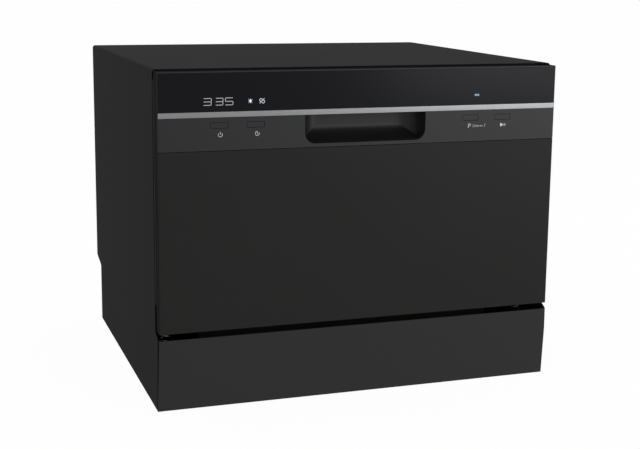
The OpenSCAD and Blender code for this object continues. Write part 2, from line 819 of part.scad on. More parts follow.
module spray_arm() {
    jets = 6;
    color(grey_plastic) translate([0, arm_y, spray_z]) difference() {
        union() {
            linear_extrude(spray_t) union() {
                circle(spray_w / 2 + 4);
                blade_plan();
                rotate([0, 0, 180]) blade_plan();
            }
            // Raised nozzles
            for (a = [0, 180], i = [1:jets]) rotate([0, 0, a])
                translate([24 + i * 23, 10 * pow(i / jets, 2) - 4 + 8 * (i % 2), spray_t - 1])
                    cylinder(h = 3, r1 = 5, r2 = 3.4);
        }
        translate([0, 0, -over]) cylinder(h = spray_t + 2 * over, r = spray_pin_r + pin_play);
    }
}

module filter_plate() {
    color(steel) difference() {
        translate([filter_x, filter_y, basin_z + 0.1]) cylinder(h = 0.8, r = filter_r + 24);
        translate([filter_x, filter_y, basin_z - over]) cylinder(h = 4, r = filter_r - 8 + 1);
        translate([0, arm_y, basin_z - over]) cylinder(h = 4, r = hub_r + 4);
        for (ring = [0:2], i = [0:17 + 5 * ring])
            translate([filter_x, filter_y, basin_z - over])
                rotate([0, 0, 360 * i / (18 + 5 * ring)])
                    translate([filter_r + 2 + 7 * ring, 0, 0]) cylinder(h = 4, r = 1.4, $fn = 16);
    }
}

// Cup with a grip, which is turned to lock the filter
module coarse_filter() {
    r = filter_r - 8;
    top = basin_z + 1.4;
    color(grey_plastic) translate([filter_x, filter_y, 0]) difference() {
        union() {
            translate([0, 0, 66]) cylinder(h = top - 66, r = r);
            translate([0, 0, top]) cylinder(h = 2, r = r + 5);
            // Grip across the mouth
            translate([-r + 2, -2.5, top]) cube([2 * r - 4, 5, 8]);
        }
        difference() {
            translate([0, 0, 69]) cylinder(h = top + 2 - 69 + over, r = r - 2.5);
            translate([-r, -2.5, top - 6]) cube([2 * r, 5, 20]);
        }
        for (i = [0:11]) rotate([0, 0, 30 * i + 15])
            translate([r - 4, -2, 78]) cube([8, 4, top - 92]);
    }
}

module microfilter() {
    low = 60;
    color(steel) translate([filter_x, filter_y, 0]) difference() {
        translate([0, 0, low]) cylinder(h = basin_z - fit - low, r = filter_r);
        translate([0, 0, low + 1.5]) cylinder(h = basin_z, r = filter_r - 2);
    }
}

module softener_tank() {
    top = basin_z - floor_t - fit;
    low = 34;
    wall = 3;
    color(white_plastic) difference() {
        union() {
            along_z(low, top) rounded([salt_x - 78, salt_y - 56], [salt_x + 46, salt_y + 56], 14);
            // Neck that comes up through the basin's floor
            translate([salt_x, salt_y, top - over])
                cylinder(h = floor_t + fit + over + 4, r = salt_r - 3);
        }
        along_z(low + wall, top - wall)
            rounded([salt_x - 75, salt_y - 53], [salt_x + 43, salt_y + 53], 11);
        translate([salt_x, salt_y, low + wall + 2]) cylinder(h = top, r = salt_r - 7);
    }
}

module salt_cap() {
    z0 = basin_z + 0.4;
    color(grey_plastic) translate([salt_x, salt_y, z0]) difference() {
        union() {
            cylinder(h = 9, r = salt_r);
            for (i = [0:17]) rotate([0, 0, 20 * i]) translate([salt_r, 0, 0])
                cylinder(h = 7, r = 1.6, $fn = 16);
            translate([-salt_r + 6, -3, 8]) cube([2 * salt_r - 12, 6, 3.2]);
        }
        translate([0, 0, -over]) cylinder(h = 6 + over, r = salt_r - 2.6);
    }
}

motor_l = 96;
volute_w = 26;
volute_x = 40;
// Outlet of the wash pump, and its joint with the duct
riser_x = volute_x + 12;
riser_z = 102.5;
riser_r = 11;
port_r = 10.9;

module wash_pump() {
    color([0.25, 0.26, 0.28]) translate([0, pump_y, pump_z]) difference() {
        union() {
            rod_x([volute_x, 0, 0], 40, volute_w);
            rod_x([volute_x - 3, 0, 0], 43, 6);
            rod_x([volute_x - motor_l, 0, 0], 34, motor_l);
            rod_x([volute_x - motor_l - 8, 0, 0], 20, 9);
            for (i = [0:7]) rotate([45 * i, 0, 0])
                block([volute_x - motor_l + 10, -1.5, 30], [volute_x - 10, 1.5, 37]);
            rod_x([volute_x + volute_w - 1, 0, 0], 14, 10);
            // Outlet upwards to the spray arm's duct
            translate([volute_x + 12, 0, 20]) cylinder(h = riser_z - pump_z - 20, r = riser_r);
        }
        rod_x([volute_x + 3, 0, 0], 36, volute_w - 6);
        rod_x([volute_x - motor_l + 5, 0, 0], 4 + pin_play, motor_l);
        rod_x([volute_x + volute_w - 4, 0, 0], 11, 20);
        translate([volute_x + 12, 0, 20]) cylinder(h = riser_z, r = riser_r - 3);
    }
}

// Wheel with backward leaning vanes, on the motor's shaft
module impeller(r, w, shaft_r, shaft_l) {
    disc_t = 1.5;
    vane_t = 1.6;
    rod_x([-shaft_l, 0, 0], shaft_r, shaft_l + disc_t);
    rod_x([0, 0, 0], r, disc_t);
    rod_x([0, 0, 0], shaft_r + 3, w);
    for (i = [0:5]) rotate([60 * i, 0, 0]) translate([0, 0, shaft_r + 1]) rotate([35, 0, 0])
        translate([disc_t - 0.5, -vane_t / 2, 0]) cube([w - disc_t, vane_t, r - shaft_r - 6]);
}

module wash_impeller() {
    color(white_plastic) translate([volute_x + 6, pump_y, pump_z]) impeller(32, 14, 4, motor_l - 12);
}

drain_x = 166;
// Height of the drain pump's outlet over its axis
drain_out = 36;

module drain_pump() {
    color([0.25, 0.26, 0.28]) translate([drain_x, drain_y, drain_z]) difference() {
        union() {
            rod_x([0, 0, 0], 26, 22);
            rod_x([21, 0, 0], 21, 46);
            rod_x([-14, 0, 0], port_r, 15);
            translate([10, 0, 14]) cylinder(h = drain_out - 14, r = 8);
        }
        rod_x([3, 0, 0], 22, 16);
        rod_x([18, 0, 0], 2.5 + pin_play, 44);
        rod_x([-15, 0, 0], port_r - 2.5, 20);
        translate([10, 0, 14]) cylinder(h = drain_out - 14 + over, r = 6);
    }
}

module drain_impeller() {
    color(white_plastic) translate([drain_x + 17, drain_y, drain_z]) mirror([1, 0, 0])
        impeller(19, 10, 2.5, 40);
}

// A rod through the points of a path, with its corners round
module pipe(path, r) {
    last = len(path) - 1;
    for (i = [0:last - 1]) {
        d = path[i + 1] - path[i];
        translate(path[i]) rotate([0, acos(d[2] / norm(d)), atan2(d[1], d[0])]) cylinder(h = norm(d), r = r);
    }
    if (last > 1) for (i = [1:last - 1]) translate(path[i]) sphere(r);
}

// A hose with open ends
module hose(path, r, wall) {
    last = len(path) - 1;
    ends = [for (i = [0:last]) i == 0 ? path[0] - over * unit(path[1] - path[0])
        : i == last ? path[i] + over * unit(path[i] - path[i - 1]) : path[i]];
    difference() {
        pipe(path, r);
        pipe(ends, r - wall);
    }
}

// Rubber hoses between the valve, the air break, the sump, the pumps and the outlet
module pump_hoses() {
    mouth = volute_x + volute_w + 9.1;
    run_z = 106;
    fill_x = inlet_x - 44;
    fill_z = run_z + 2;
    color(rubber_grey) {
        hose([
            [mouth, pump_y, pump_z], [filter_x, pump_y, pump_z], [filter_x, arm_y - 3, pump_z]
        ], port_r + 3, 2.9);
        hose([[riser_x, pump_y, riser_z - 2.9], [riser_x, pump_y, riser_z + 3.4]], riser_r + 3, 2.9);
        hose([
            [filter_x + bowl_r + 6, filter_y, drain_z], [drain_x - 1, filter_y, drain_z]
        ], port_r + 3, 2.9);
        hose([
            [drain_x + 10, drain_y, drain_z + drain_out + 0.1], [drain_x + 10, drain_y, run_z],
            [drain_x + 10, recess_y - 34, run_z], [outlet_x, recess_y - 34, run_z],
            [outlet_x, recess_y - 34, port_z], [outlet_x, recess_y - 26.1, port_z]
        ], 8, 2);
        hose([
            [inlet_x - 18.1, recess_y - 26, port_z], [fill_x, recess_y - 26, port_z],
            [fill_x, recess_y - 26, fill_z], [fill_x, stub_y, fill_z], [chamber_x, stub_y, fill_z],
            [chamber_x, stub_y, rail_z - 20.1]
        ], 6, 2);
    }
}

inlet_x = 79 - hw;
outlet_x = inlet_x + 58;
gland_x = hw - 69;

module inlet_valve() {
    color(white_plastic) {
        difference() {
            union() {
                rod_y([inlet_x, recess_y - 6, port_z], inlet_r, 32);
                rod_y([inlet_x, recess_y - 6 - 1, port_z], inlet_r + 5, 1.0 + 2.7);
                block([inlet_x - 18, recess_y - 46, port_z - 16], [inlet_x + 18, recess_y - 6, port_z + 16]);
            }
            rod_y([inlet_x, recess_y + 2, port_z], inlet_r - 3.6, 30);
        }
        // Coil of the valve
        block([inlet_x - 14, recess_y - 40, port_z + 16.1], [inlet_x + 14, recess_y - 12, port_z + 38]);
    }
}

module drain_outlet() {
    color(grey_plastic) difference() {
        union() {
            rod_y([outlet_x, recess_y - 26, port_z], drain_r - 1, 26);
            rod_y([outlet_x, recess_y - 4, port_z], drain_r, 38);
            rod_y([outlet_x, recess_y - 6.5, port_z], drain_r + 4, 3.2);
        }
        rod_y([outlet_x, recess_y - 26 - over, port_z], drain_r - 2.5, 62);
    }
}

module cord_gland() {
    color(rubber_grey) difference() {
        union() {
            rod_y([gland_x, recess_y - 12, port_z], gland_r + 3, 16);
            rod_y([gland_x, recess_y + 0.1, port_z], gland_r + 7, 5);
            rod_y([gland_x, recess_y - 10, port_z], gland_r + 7, 6.8);
            translate([gland_x, recess_y + 4, port_z]) rotate([-90, 0, 0])
                cylinder(h = 20, r1 = gland_r + 4, r2 = gland_r + 1.6);
        }
        rod_y([gland_x, recess_y - 12 - over, port_z], gland_r, 36 + 2 * over);
    }
}

chamber_t = 24;
chamber_x = -inner_hw + 1 + chamber_t / 2;
stub_y = 60;

// Flat water chamber between the tub and the left side panel
module air_break() {
    x0 = chamber_x - chamber_t / 2;
    x1 = chamber_x + chamber_t / 2;
    z0 = rail_z + 22;
    z1 = roof_z - 30;
    pitch = (z1 - z0 - 22) / 4;
    color([0.8, 0.82, 0.84]) difference() {
        union() {
            along_x(x0, x1) rounded([stub_y - 150, z0], [stub_y + 50, z1], 16);
            // Stub for the filling hose
            translate([chamber_x, stub_y, rail_z - 20]) cylinder(h = 46, r = 8);
        }
        for (i = [0:3]) along_x(x1 - 4, x1 + over) rounded(
            [stub_y - 138, z0 + 16 + i * pitch],
            [stub_y + 38 - 30 * (i % 2), z0 + 4 + (i + 1) * pitch], min(10, pitch / 2 - 7)
        );
        translate([chamber_x, stub_y, rail_z - 20 - over]) cylinder(h = 20, r = 5.5);
    }
}

float_x = 150;
float_y = face_y + 100;
float_stroke = 8;

module leak_switch() {
    z0 = tray_floor + tray_t;
    color([0.75, 0.2, 0.15]) difference() {
        union() {
            block([float_x - 14, float_y - 8, z0 + 34], [float_x + 14, float_y + 8, z0 + 46]);
            block([float_x + 28, float_y - 8, z0 + 0.1], [float_x + 31, float_y + 8, z0 + 46]);
            block([float_x + 10, float_y - 8, z0 + 43], [float_x + 31, float_y + 8, z0 + 46]);
        }
        translate([float_x, float_y, z0 + 30]) cylinder(h = 14, r = 3.6);
    }
}

// Float of foam with its guide stem
module leak_float() {
    z0 = tray_floor + tray_t;
    color([0.93, 0.93, 0.9]) translate([float_x, float_y, z0 + 0.4]) {
        cylinder(h = 16, r = 24);
        cylinder(h = 34, r = 3.4);
    }
}

// ---------- Door ----------

// Plan of the door's shell, in X and Y, from its face back to its rear edge
module door_plan(inset) {
    difference() {
        rounded(
            [-door_hw + inset, face_y + inset], [door_hw - inset, face_y + 60],
            door_edge_r - min(inset, door_edge_r - 0.5)
        );
        translate([-hw - over, shell_y + inset * 0]) square([2 * hw + 2 * over, 90]);
    }
}

module door_panel() {
    z1 = fascia_z0 - fascia_seam;
    color(door_black) difference() {
        along_z(door_z0, z1) door_plan(0);
        along_z(door_z0 + panel_t, z1 - panel_t) difference() {
            door_plan_open(panel_t);
        }
    }
}

// Hollow of a door shell with walls of the given thickness, open at the back
module door_plan_open(wall) {
    rounded(
        [-door_hw + wall, face_y + wall], [door_hw - wall, face_y + 80],
        max(door_edge_r - wall, 0.5)
    );
}

module pocket_outline(grow) {
    lo = pocket_z0 - grow;
    hw2 = pocket_hw + grow;
    difference() {
        union() {
            rounded([-hw2, lo], [hw2, pocket_z1 + 40], pocket_r + grow);
        }
        translate([-hw, pocket_z1 + (grow > 0 ? 0.01 : 0)]) square([cab_w, 80]);
    }
}

// Side view of the pocket: a scoop that is deepest at mid height
module scoop_outline(grow) {
    n = 10;
    mid = pocket_z0 + 20;
    polygon(concat(
        [for (i = [0:n]) let (a = 90 * i / n) [
            face_y + (pocket_d + grow) * sin(a),
            mid - (20 + grow) * cos(a)
        ]],
        [
            [face_y + pocket_d + grow, pocket_z1],
            [face_y - over, pocket_z1],
            [face_y - over, pocket_z0 - grow]
        ]
    ));
}

// Plan of the pocket: its ends sweep inwards to the back
module pocket_plan(grow) {
    n = 8;
    right = [for (i = [0:n]) let (a = 90 * i / n) [
        pocket_hw + grow - pocket_sweep * (1 - cos(a)), face_y + (pocket_d + grow) * sin(a)
    ]];
    polygon(concat(
        [[-pocket_hw - grow, face_y - over], [pocket_hw + grow, face_y - over]], right,
        [for (i = [n:-1:0]) [-right[i][0], right[i][1]]]
    ));
}

module pocket_solid(grow) {
    intersection() {
        along_y(face_y - over, face_y + pocket_d + grow) pocket_outline(grow);
        along_x(-pocket_hw - grow, pocket_hw + grow) scoop_outline(grow);
        along_z(pocket_z0 - grow - over, pocket_z1 + over) pocket_plan(grow);
    }
}

module control_fascia() {
    color(door_black) difference() {
        union() {
            difference() {
                along_z(fascia_z0, door_z1) door_plan(0);
                along_z(fascia_z0 + fascia_t, door_z1 - fascia_t) door_plan_open(fascia_t);
            }
            intersection() {
                pocket_solid(pocket_wall);
                block([-hw, face_y, 0], [hw, rear_y, cab_h]);
            }
            // Roof of the pocket, behind the silver strip
            intersection() {
                along_z(pocket_z1 - 0.1, pocket_z1 + pocket_wall) pocket_plan(pocket_wall);
                block([-hw, face_y + 1, 0], [hw, rear_y, cab_h]);
            }
        }
        pocket_solid(0);
        // Seat of the glossy band and the silver strip
        block(
            [-door_hw + gloss_border - fit / 2, face_y - over, strip_z0],
            [door_hw - gloss_border + fit / 2, face_y + gloss_t, gloss_z1 + fit / 2]
        );
        for (x = [-button_outer_x, -button_inner_x, button_inner_x, button_outer_x])
            along_y(face_y - over, face_y + fascia_t + over) rounded(
                [x - button_w / 2 - button_play, button_z - button_h / 2 - button_play],
                [x + button_w / 2 + button_play, button_z + button_h / 2 + button_play], 1.2
            );
    }
}

module display_panel() {
    color(gloss_black) block(
        [-door_hw + gloss_border, face_y, gloss_z0 + fit / 2],
        [door_hw - gloss_border, face_y + gloss_t - 0.1, gloss_z1]
    );
}

module trim_strip() {
    color(silver) block(
        [-door_hw + gloss_border, face_y, strip_z0 + 0.1],
        [door_hw - gloss_border, face_y + gloss_t - 0.1, gloss_z0 - fit / 2 + 0.1]
    );
}

// A button: cap, retaining flange and plunger
module button(x) {
    color(door_black) {
        along_y(face_y + 0.2, face_y + fascia_t + fit) rounded(
            [x - button_w / 2, button_z - button_h / 2],
            [x + button_w / 2, button_z + button_h / 2], 1
        );
        along_y(face_y + fascia_t + fit, face_y + fascia_t + 2) rounded(
            [x - button_w / 2 - 1.5, button_z - button_h / 2 - 1.5],
            [x + button_w / 2 + 1.5, button_z + button_h / 2 + 1.5], 1
        );
        rod_y([x, face_y + fascia_t + 1.9, button_z], 2, 2.6);
    }
}

module button_power() { button(-button_outer_x); }

module button_delay() { button(-button_inner_x); }

module button_program() { button(button_inner_x); }

module button_start() { button(button_outer_x); }

board_y = face_y + fascia_t + 4.5 + button_stroke + fit + 2;
board_x0 = pocket_hw + 15;
board_x1 = door_hw - 37.5;

// Circuit boards on both sides of the handle pocket
module control_boards() {
    color([0.1, 0.35, 0.2]) {
        both_sides()
            block([board_x0, board_y, fascia_z0 + 8], [board_x1, board_y + 1.6, door_z1 - 12]);
        for (x = [-button_outer_x, -button_inner_x, button_inner_x, button_outer_x])
            block([x - 3, board_y - 2, button_z - 3], [x + 3, board_y, button_z + 3]);
        // Digit module behind the glossy band
        block(
            [16 - board_x1, face_y + fascia_t + fit, gloss_z0 + 3],
            [64 - board_x1, board_y, gloss_z0 + 23]
        );
        // Relays and capacitors
        for (x = [board_x0 + 22, board_x0 + 52])
            block([x, board_y + 1.6, fascia_z0 + 20], [x + 22, board_y + 17, fascia_z0 + 44]);
        rod_y([board_x1 - 41, board_y + 1.6, fascia_z0 + 34], 8, 18);
    }
}

// Side view of the liner's pan, with its round lower edge
module liner_outline(inset) {
    arc = 12;
    r = rocker_r - inset;
    low = liner_z0 + inset;
    a0 = asin((axis_z - low) / r);
    polygon(concat(
        [[shell_y, low]],
        [for (i = [0:arc]) let (a = -a0 + a0 * i / arc) [axis_y + r * cos(a), axis_z + r * sin(a)]],
        [[liner_y - inset, liner_z1 - inset], [shell_y, liner_z1 - inset]]
    ));
}

lid_w = 62;
lid_h = 74;
lid_x = 14;
lid_z = (door_z0 + fascia_z0) / 2 + 20.5;
cup_x = -52;
cup_r = 17;

module door_liner() {
    color(steel) difference() {
        union() {
            difference() {
                along_x(-liner_hw, liner_hw) liner_outline(0);
                along_x(-liner_hw + liner_t, liner_hw - liner_t) union() {
                    liner_outline(liner_t);
                    translate([shell_y - over, liner_z0 + liner_t])
                        square([over + 0.5, liner_z1 - liner_z0 - 2 * liner_t]);
                }
            }
            // Flanges that close the door's sides, above the hinge
            both_sides() block(
                [liner_hw - liner_t, shell_y, axis_z + 24],
                [door_hw - 1, shell_y + liner_t, liner_z1]
            );
        }
        // Opening for the dispenser
        along_y(liner_y - liner_t - over, liner_y + over) rounded(
            [cup_x - cup_r - 12, lid_z - lid_h / 2 - 10],
            [lid_x + lid_w / 2 + 12, lid_z + lid_h / 2 + 10], 8
        );
        // Slot for the catch
        block(
            [-catch_w / 2 - 2, liner_y - liner_t - over, catch_z - 9],
            [catch_w / 2 + 2, liner_y + over, catch_z + 9]
        );
    }
}

module door_insulation() {
    color([0.12, 0.12, 0.12]) difference() {
        block(
            [-liner_hw + 6, face_y + 8, door_z0 + 14],
            [liner_hw - 6, liner_y - liner_t - fit, fascia_z0 - 6]
        );
        block(
            [cup_x - cup_r - 16, liner_y - 34, lid_z - lid_h / 2 - 14],
            [lid_x + lid_w / 2 + 16, liner_y, lid_z + lid_h / 2 + 14]
        );
        // Free space round the hinge axis
        block([-hw, face_y, 0], [hw, rear_y, axis_z + 2]);
    }
}

// Moulded housing behind the liner, which holds the catch and its pin
module latch_housing() {
    w = catch_w / 2;
    color(grey_plastic) {
        both_sides() block(
            [w + 0.3, catch_y - 9, catch_z - 12], [w + 5, liner_y - liner_t - 0.2, catch_z + 8]
        );
        block(
            [-w - 5, catch_y - 12, catch_z - 12], [w + 5, catch_y - 9, catch_z + 8]
        );
        rod_x([-w - 1, catch_y, catch_z], catch_pin_r, 2 * w + 2);
    }
}

// Sprung hook that holds the closed door
module latch_catch() {
    w = catch_w / 2;
    nose_y = striker_y + 3;
    color(white_plastic) difference() {
        union() {
            rod_x([-w, catch_y, catch_z], 6, 2 * w);
            along_x(-w, w) polygon([
                [catch_y, catch_z - 3], [nose_y + 4, catch_z - 3], [nose_y + 9, catch_z + 1],
                [nose_y + 1, catch_z + 9], [nose_y, catch_z + 9], [nose_y, catch_z + 3],
                [catch_y, catch_z + 4]
            ]);
        }
        rod_x([-w - over, catch_y, catch_z], catch_pin_r + pin_play, 2 * w + 2 * over);
    }
}

module dispenser_body() {
    x0 = cup_x - cup_r - 10;
    x1 = lid_x + lid_w / 2 + 10;
    color(white_plastic) difference() {
        union() {
            // Bezel on the liner and the well behind it
            along_y(liner_y + 0.1, liner_y + 2.5) rounded(
                [x0 - 6, lid_z - lid_h / 2 - 14], [x1 + 6, lid_z + lid_h / 2 + 14], 10
            );
            along_y(liner_y - 28, liner_y + 0.1) rounded(
                [x0, lid_z - lid_h / 2 - 8], [x1, lid_z + lid_h / 2 + 8], 6
            );
        }
        // Detergent chamber
        along_y(liner_y - 24, liner_y + 3 + over) rounded(
            [lid_x - lid_w / 2 + 6, lid_z - lid_h / 2 + 6],
            [lid_x + lid_w / 2 - 6, lid_z + lid_h / 2 - 6], 10
        );
        // Neck of the rinse aid tank
        rod_y([cup_x, liner_y - 20, lid_z], cup_r - 5, 30);
        rod_y([cup_x, liner_y - 3, lid_z], cup_r + 0.6, 10);
    }
}

// Lid that slides sideways over the detergent chamber
module dispenser_lid() {
    color(blue_grey) {
        along_y(liner_y + 2.8, liner_y + 5) rounded(
            [lid_x - lid_w / 2, lid_z - lid_h / 2], [lid_x + lid_w / 2, lid_z + lid_h / 2], 8
        );
        for (i = [0:3])
            block(
                [lid_x + lid_w / 2 - 18 + 4 * i, liner_y + 4.9, lid_z - 16],
                [lid_x + lid_w / 2 - 16 + 4 * i, liner_y + 6.2, lid_z + 16]
            );
    }
}

module rinse_cap() {
    color(blue_grey) difference() {
        union() {
            rod_y([cup_x, liner_y - 2.6, lid_z], cup_r, 6);
            along_y(liner_y + 3.3, liner_y + 6.5)
                rounded([cup_x - cup_r + 4, lid_z - 3], [cup_x + cup_r - 4, lid_z + 3], 2.4);
        }
        rod_y([cup_x, liner_y - 4, lid_z], cup_r - 8, 5);
    }
}

// ---------- Rack ----------

function spread(lo, hi, n) = [for (i = [0:n - 1]) lerp(lo, hi, i / (n - 1))];

cross_y = spread(rack_y0 + rack_flare, rack_y1 - 12, cross_wires);
long_x = spread(-side_x + 22, side_x - 22, long_wires);

// Welded basket of round wire: cross wires, long wires and the top rail
module rack_frame() {
    z_cross = rack_z + wire_r;
    z_long = z_cross + 2 * wire_r - weld;
    front_in = rack_y0 + rail_r + wire_r - weld;
    back_in = rack_y1 - rail_r - wire_r + weld;
    color(blue_grey) {
        for (y = cross_y) translate([0, y, 0]) rotate([90, 0, 0]) bent_rod([
            [-side_x - weld, rack_top], [-side_x - weld, z_cross],
            [side_x + weld, z_cross], [side_x + weld, rack_top]
        ], wire_r, wire_bend);
        for (x = long_x) translate([x, 0, 0]) rotate([90, 0, 90]) bent_rod([
            [front_in, rack_top], [front_in, z_long], [back_in, z_long], [back_in, rack_top]
        ], wire_r, [front_bend, wire_bend]);
        rail_loop(rack_top, rail_r);
        rail_loop(rack_z + 62, wire_r);
    }
}

// A closed loop of rod round the rack, at one height
module rail_loop(z, r) {
    corner = 26;
    // The lower loop lies outside the uprights too
    x = side_x + wire_r + r;
    y0 = r == rail_r ? rack_y0 : rack_y0 + rail_r - r;
    y1 = r == rail_r ? rack_y1 : rack_y1 - rail_r + r;
    translate([0, 0, z]) {
        for (s = [-1, 1]) rod_y([s * x, y0 + corner, 0], r, y1 - y0 - 2 * corner, $fn = 24);
        for (y = [y0, y1]) rod_x([-x + corner, y, 0], r, 2 * (x - corner), $fn = 24);
        for (q = [[1, 1, 0], [-1, 1, 90], [-1, -1, 180], [1, -1, 270]])
            translate([q[0] * (x - corner), q[1] > 0 ? y1 - corner : y0 + corner, 0])
                rotate([0, 0, q[2]]) rotate_extrude(angle = 90, $fn = 48)
                    translate([corner, 0]) circle(r, $fn = 24);
    }
}

// Two rows of tines that hold the plates upright
module plate_tines() {
    z0 = rack_z + 3 * wire_r - weld;
    color(blue_grey) for (x = [-tine_x, tine_x]) {
        rod_y([x, cross_y[0] - 4, z0], wire_r, cross_y[cross_wires - 1] - cross_y[0] + 8, $fn = 24);
        for (y = spread(cross_y[0] + 14, cross_y[cross_wires - 1] - 14, tine_count))
            translate([x, y, z0]) rotate([10, 0, 0]) {
                cylinder(h = tine_h, r = wire_r, $fn = 24);
                translate([0, 0, tine_h]) sphere(wire_r, $fn = 24);
            }
    }
}

// Plastic clips on the rack's wires: four with a roller's axle, two that carry the cup shelf
module rack_clips() {
    color(white_plastic) {
        for (s = [-1, 1], y = [axle_y, axle_y + axle_base]) roller_clip(s, y);
        shelf_clip(shelf_y0 - 5.6);
        shelf_clip(shelf_y1 + 2.2);
    }
}

// Block that grips the upright wires, with a plate outside them down to the axle
module roller_clip(s, y) {
    grip = side_x - 5;
    outside = side_x + weld + wire_r + 0.1;
    outer = roller_x - 0.6;
    mirror([s > 0 ? 0 : 1, 0, 0]) difference() {
        union() {
            along_x(outside, outer) rounded([y - 16, axle_z - 7], [y + 16, axle_z + 22], 6);
            along_x(grip, outside + 1)
                rounded([y - 16, rack_z + wire_bend + 4], [y + 16, axle_z + 22], 3);
            rod_x([outer - 0.4, y, axle_z], axle_r, roller_w + 1.4);
            rod_x([roller_x + roller_w + 0.3, y, axle_z], axle_r + 1.4, 1.4);
        }
        for (wire_y = cross_y) translate([side_x + weld, wire_y, rack_z])
            cylinder(h = rack_h, r = wire_r + 0.05);
    }
}

// Hook over the top rail, with an eye for the shelf's hinge rod
module shelf_clip(y) {
    w = 3.4;
    x0 = side_x - wire_r - 3.2;
    top = rack_top + rail_r + 0.1;
    difference() {
        union() {
            block([x0, y, shelf_z - 4], [x0 + 3, y + w, top + 1.5]);
            block([x0, y, top], [side_x + wire_r + 2 * rail_r + 1.6, y + w, top + 1.5]);
            block([shelf_x, y, shelf_z - 4], [x0 + 1, y + w, shelf_z + 4]);
            rod_y([shelf_x, y, shelf_z], 4, w);
        }
        rod_y([shelf_x, y - over, shelf_z], shelf_rod_r + pin_play, w + 2 * over);
    }
}

module roller(s, y) {
    color(white_plastic) translate([s > 0 ? roller_x : -roller_x - roller_w, y, axle_z])
        rotate([0, 90, 0]) difference() {
            rotate_extrude() polygon([
                [axle_r + pin_play, 0], [roller_r - 1, 0], [roller_r, 1], [roller_r, roller_w - 1],
                [roller_r - 1, roller_w], [axle_r + pin_play, roller_w]
            ]);
            for (i = [0:5]) rotate([0, 0, 60 * i]) translate([8.5, 0, -over])
                cylinder(h = roller_w + 2 * over, r = 2.2, $fn = 24);
        }
}

module roller_front_left() { roller(-1, axle_y); }

module roller_front_right() { roller(1, axle_y); }

module roller_rear_left() { roller(-1, axle_y + axle_base); }

module roller_rear_right() { roller(1, axle_y + axle_base); }

shelf_x = side_x - 14;
shelf_z = rack_top - 16;
shelf_w = 84;
shelf_y0 = arm_y - 100;
shelf_y1 = arm_y + 120;
shelf_rod_r = wire_r + 0.2;

// Folding cup shelf on the right side of the rack
module cup_shelf() {
    color(blue_grey) {
        translate([0, 0, shelf_z]) bent_rod([
            [shelf_x, shelf_y0], [shelf_x - shelf_w, shelf_y0],
            [shelf_x - shelf_w, shelf_y1], [shelf_x, shelf_y1]
        ], wire_r, wire_bend);
        rod_y([shelf_x, shelf_y0 - 6, shelf_z], shelf_rod_r, shelf_y1 - shelf_y0 + 12, $fn = 24);
        for (y = spread(shelf_y0 + 36, shelf_y1 - 36, 5))
            rod_x([shelf_x - shelf_w, y, shelf_z], wire_r, shelf_w, $fn = 24);
    }
}

module cutlery_basket() {
    wall = 1.6;
    x0 = -side_x + 16;
    x1 = x0 + cutlery_w;
    y0 = arm_y - cutlery_l / 2;
    y1 = y0 + cutlery_l;
    z0 = rack_z + 4 * wire_r;
    z1 = z0 + cutlery_h;
    cells = 4;
    color(grey_plastic) {
        difference() {
            along_z(z0, z1) rounded([x0, y0], [x1, y1], 8);
            for (i = [0:cells - 1]) let (p = (cutlery_l - wall) / cells)
                along_z(z0 + wall, z1 + over) rounded(
                    [x0 + wall, y0 + wall + i * p], [x1 - wall, y0 + (i + 1) * p], 6
                );
            // Drain slots in the long walls
            for (i = [0:13], k = [0:1]) let (y = y0 + 12 + i * (cutlery_l - 24) / 13)
                along_x(x0 - over, x1 + over)
                    translate([y - 2.5, z0 + 10 + 48 * k]) square([5, 40]);
            for (i = [0:7], j = [0:2])
                along_z(z0 - over, z0 + wall + over)
                    translate([x0 + 10 + 18 * j, y0 + 10 + i * 23.5]) square([10, 10]);
        }
        // Handle in the middle
        along_y(arm_y - 1.5, arm_y + 1.5) difference() {
            rounded([x0 + 4, z1 - 30], [x1 - 4, z1 + 26], 10);
            rounded([x0 + 14, z1 - 40], [x1 - 14, z1 + 16], 8);
        }
    }
}

cabinet_wrap();
rear_panel();
base_tray();
kick_panel();
front_crossmember();
feet();
front_frame();
striker();
tub_wrap();
tub_back();
tub_floor();
door_seals();
tub_insulation();
hinge_brackets();
door_springs();
sump();
spray_hub();
filter_plate();
softener_tank();
wash_pump();
pump_hoses();
drain_pump();
inlet_valve();
drain_outlet();
cord_gland();
air_break();
leak_switch();
door_panel();
control_fascia();
display_panel();
trim_strip();
door_liner();
door_insulation();
control_boards();
latch_housing();
dispenser_body();
hinge_arms();
button_power();
button_delay();
button_program();
button_start();
latch_catch();
dispenser_lid();
rinse_cap();
rack_frame();
plate_tines();
rack_clips();
roller_front_left();
roller_front_right();
roller_rear_left();
roller_rear_right();
cup_shelf();
cutlery_basket();
spray_arm();
coarse_filter();
microfilter();
salt_cap();
leak_float();
wash_impeller();
drain_impeller();
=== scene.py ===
"""Looks of a countertop dishwasher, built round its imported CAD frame.

The door looks along -y, and z is up. Lengths in tables and arguments are in mm, unless a line says
otherwise, and MM turns them into Blender's metres.
"""
import json
import math

import bmesh
import bpy
from mathutils import Matrix, Vector


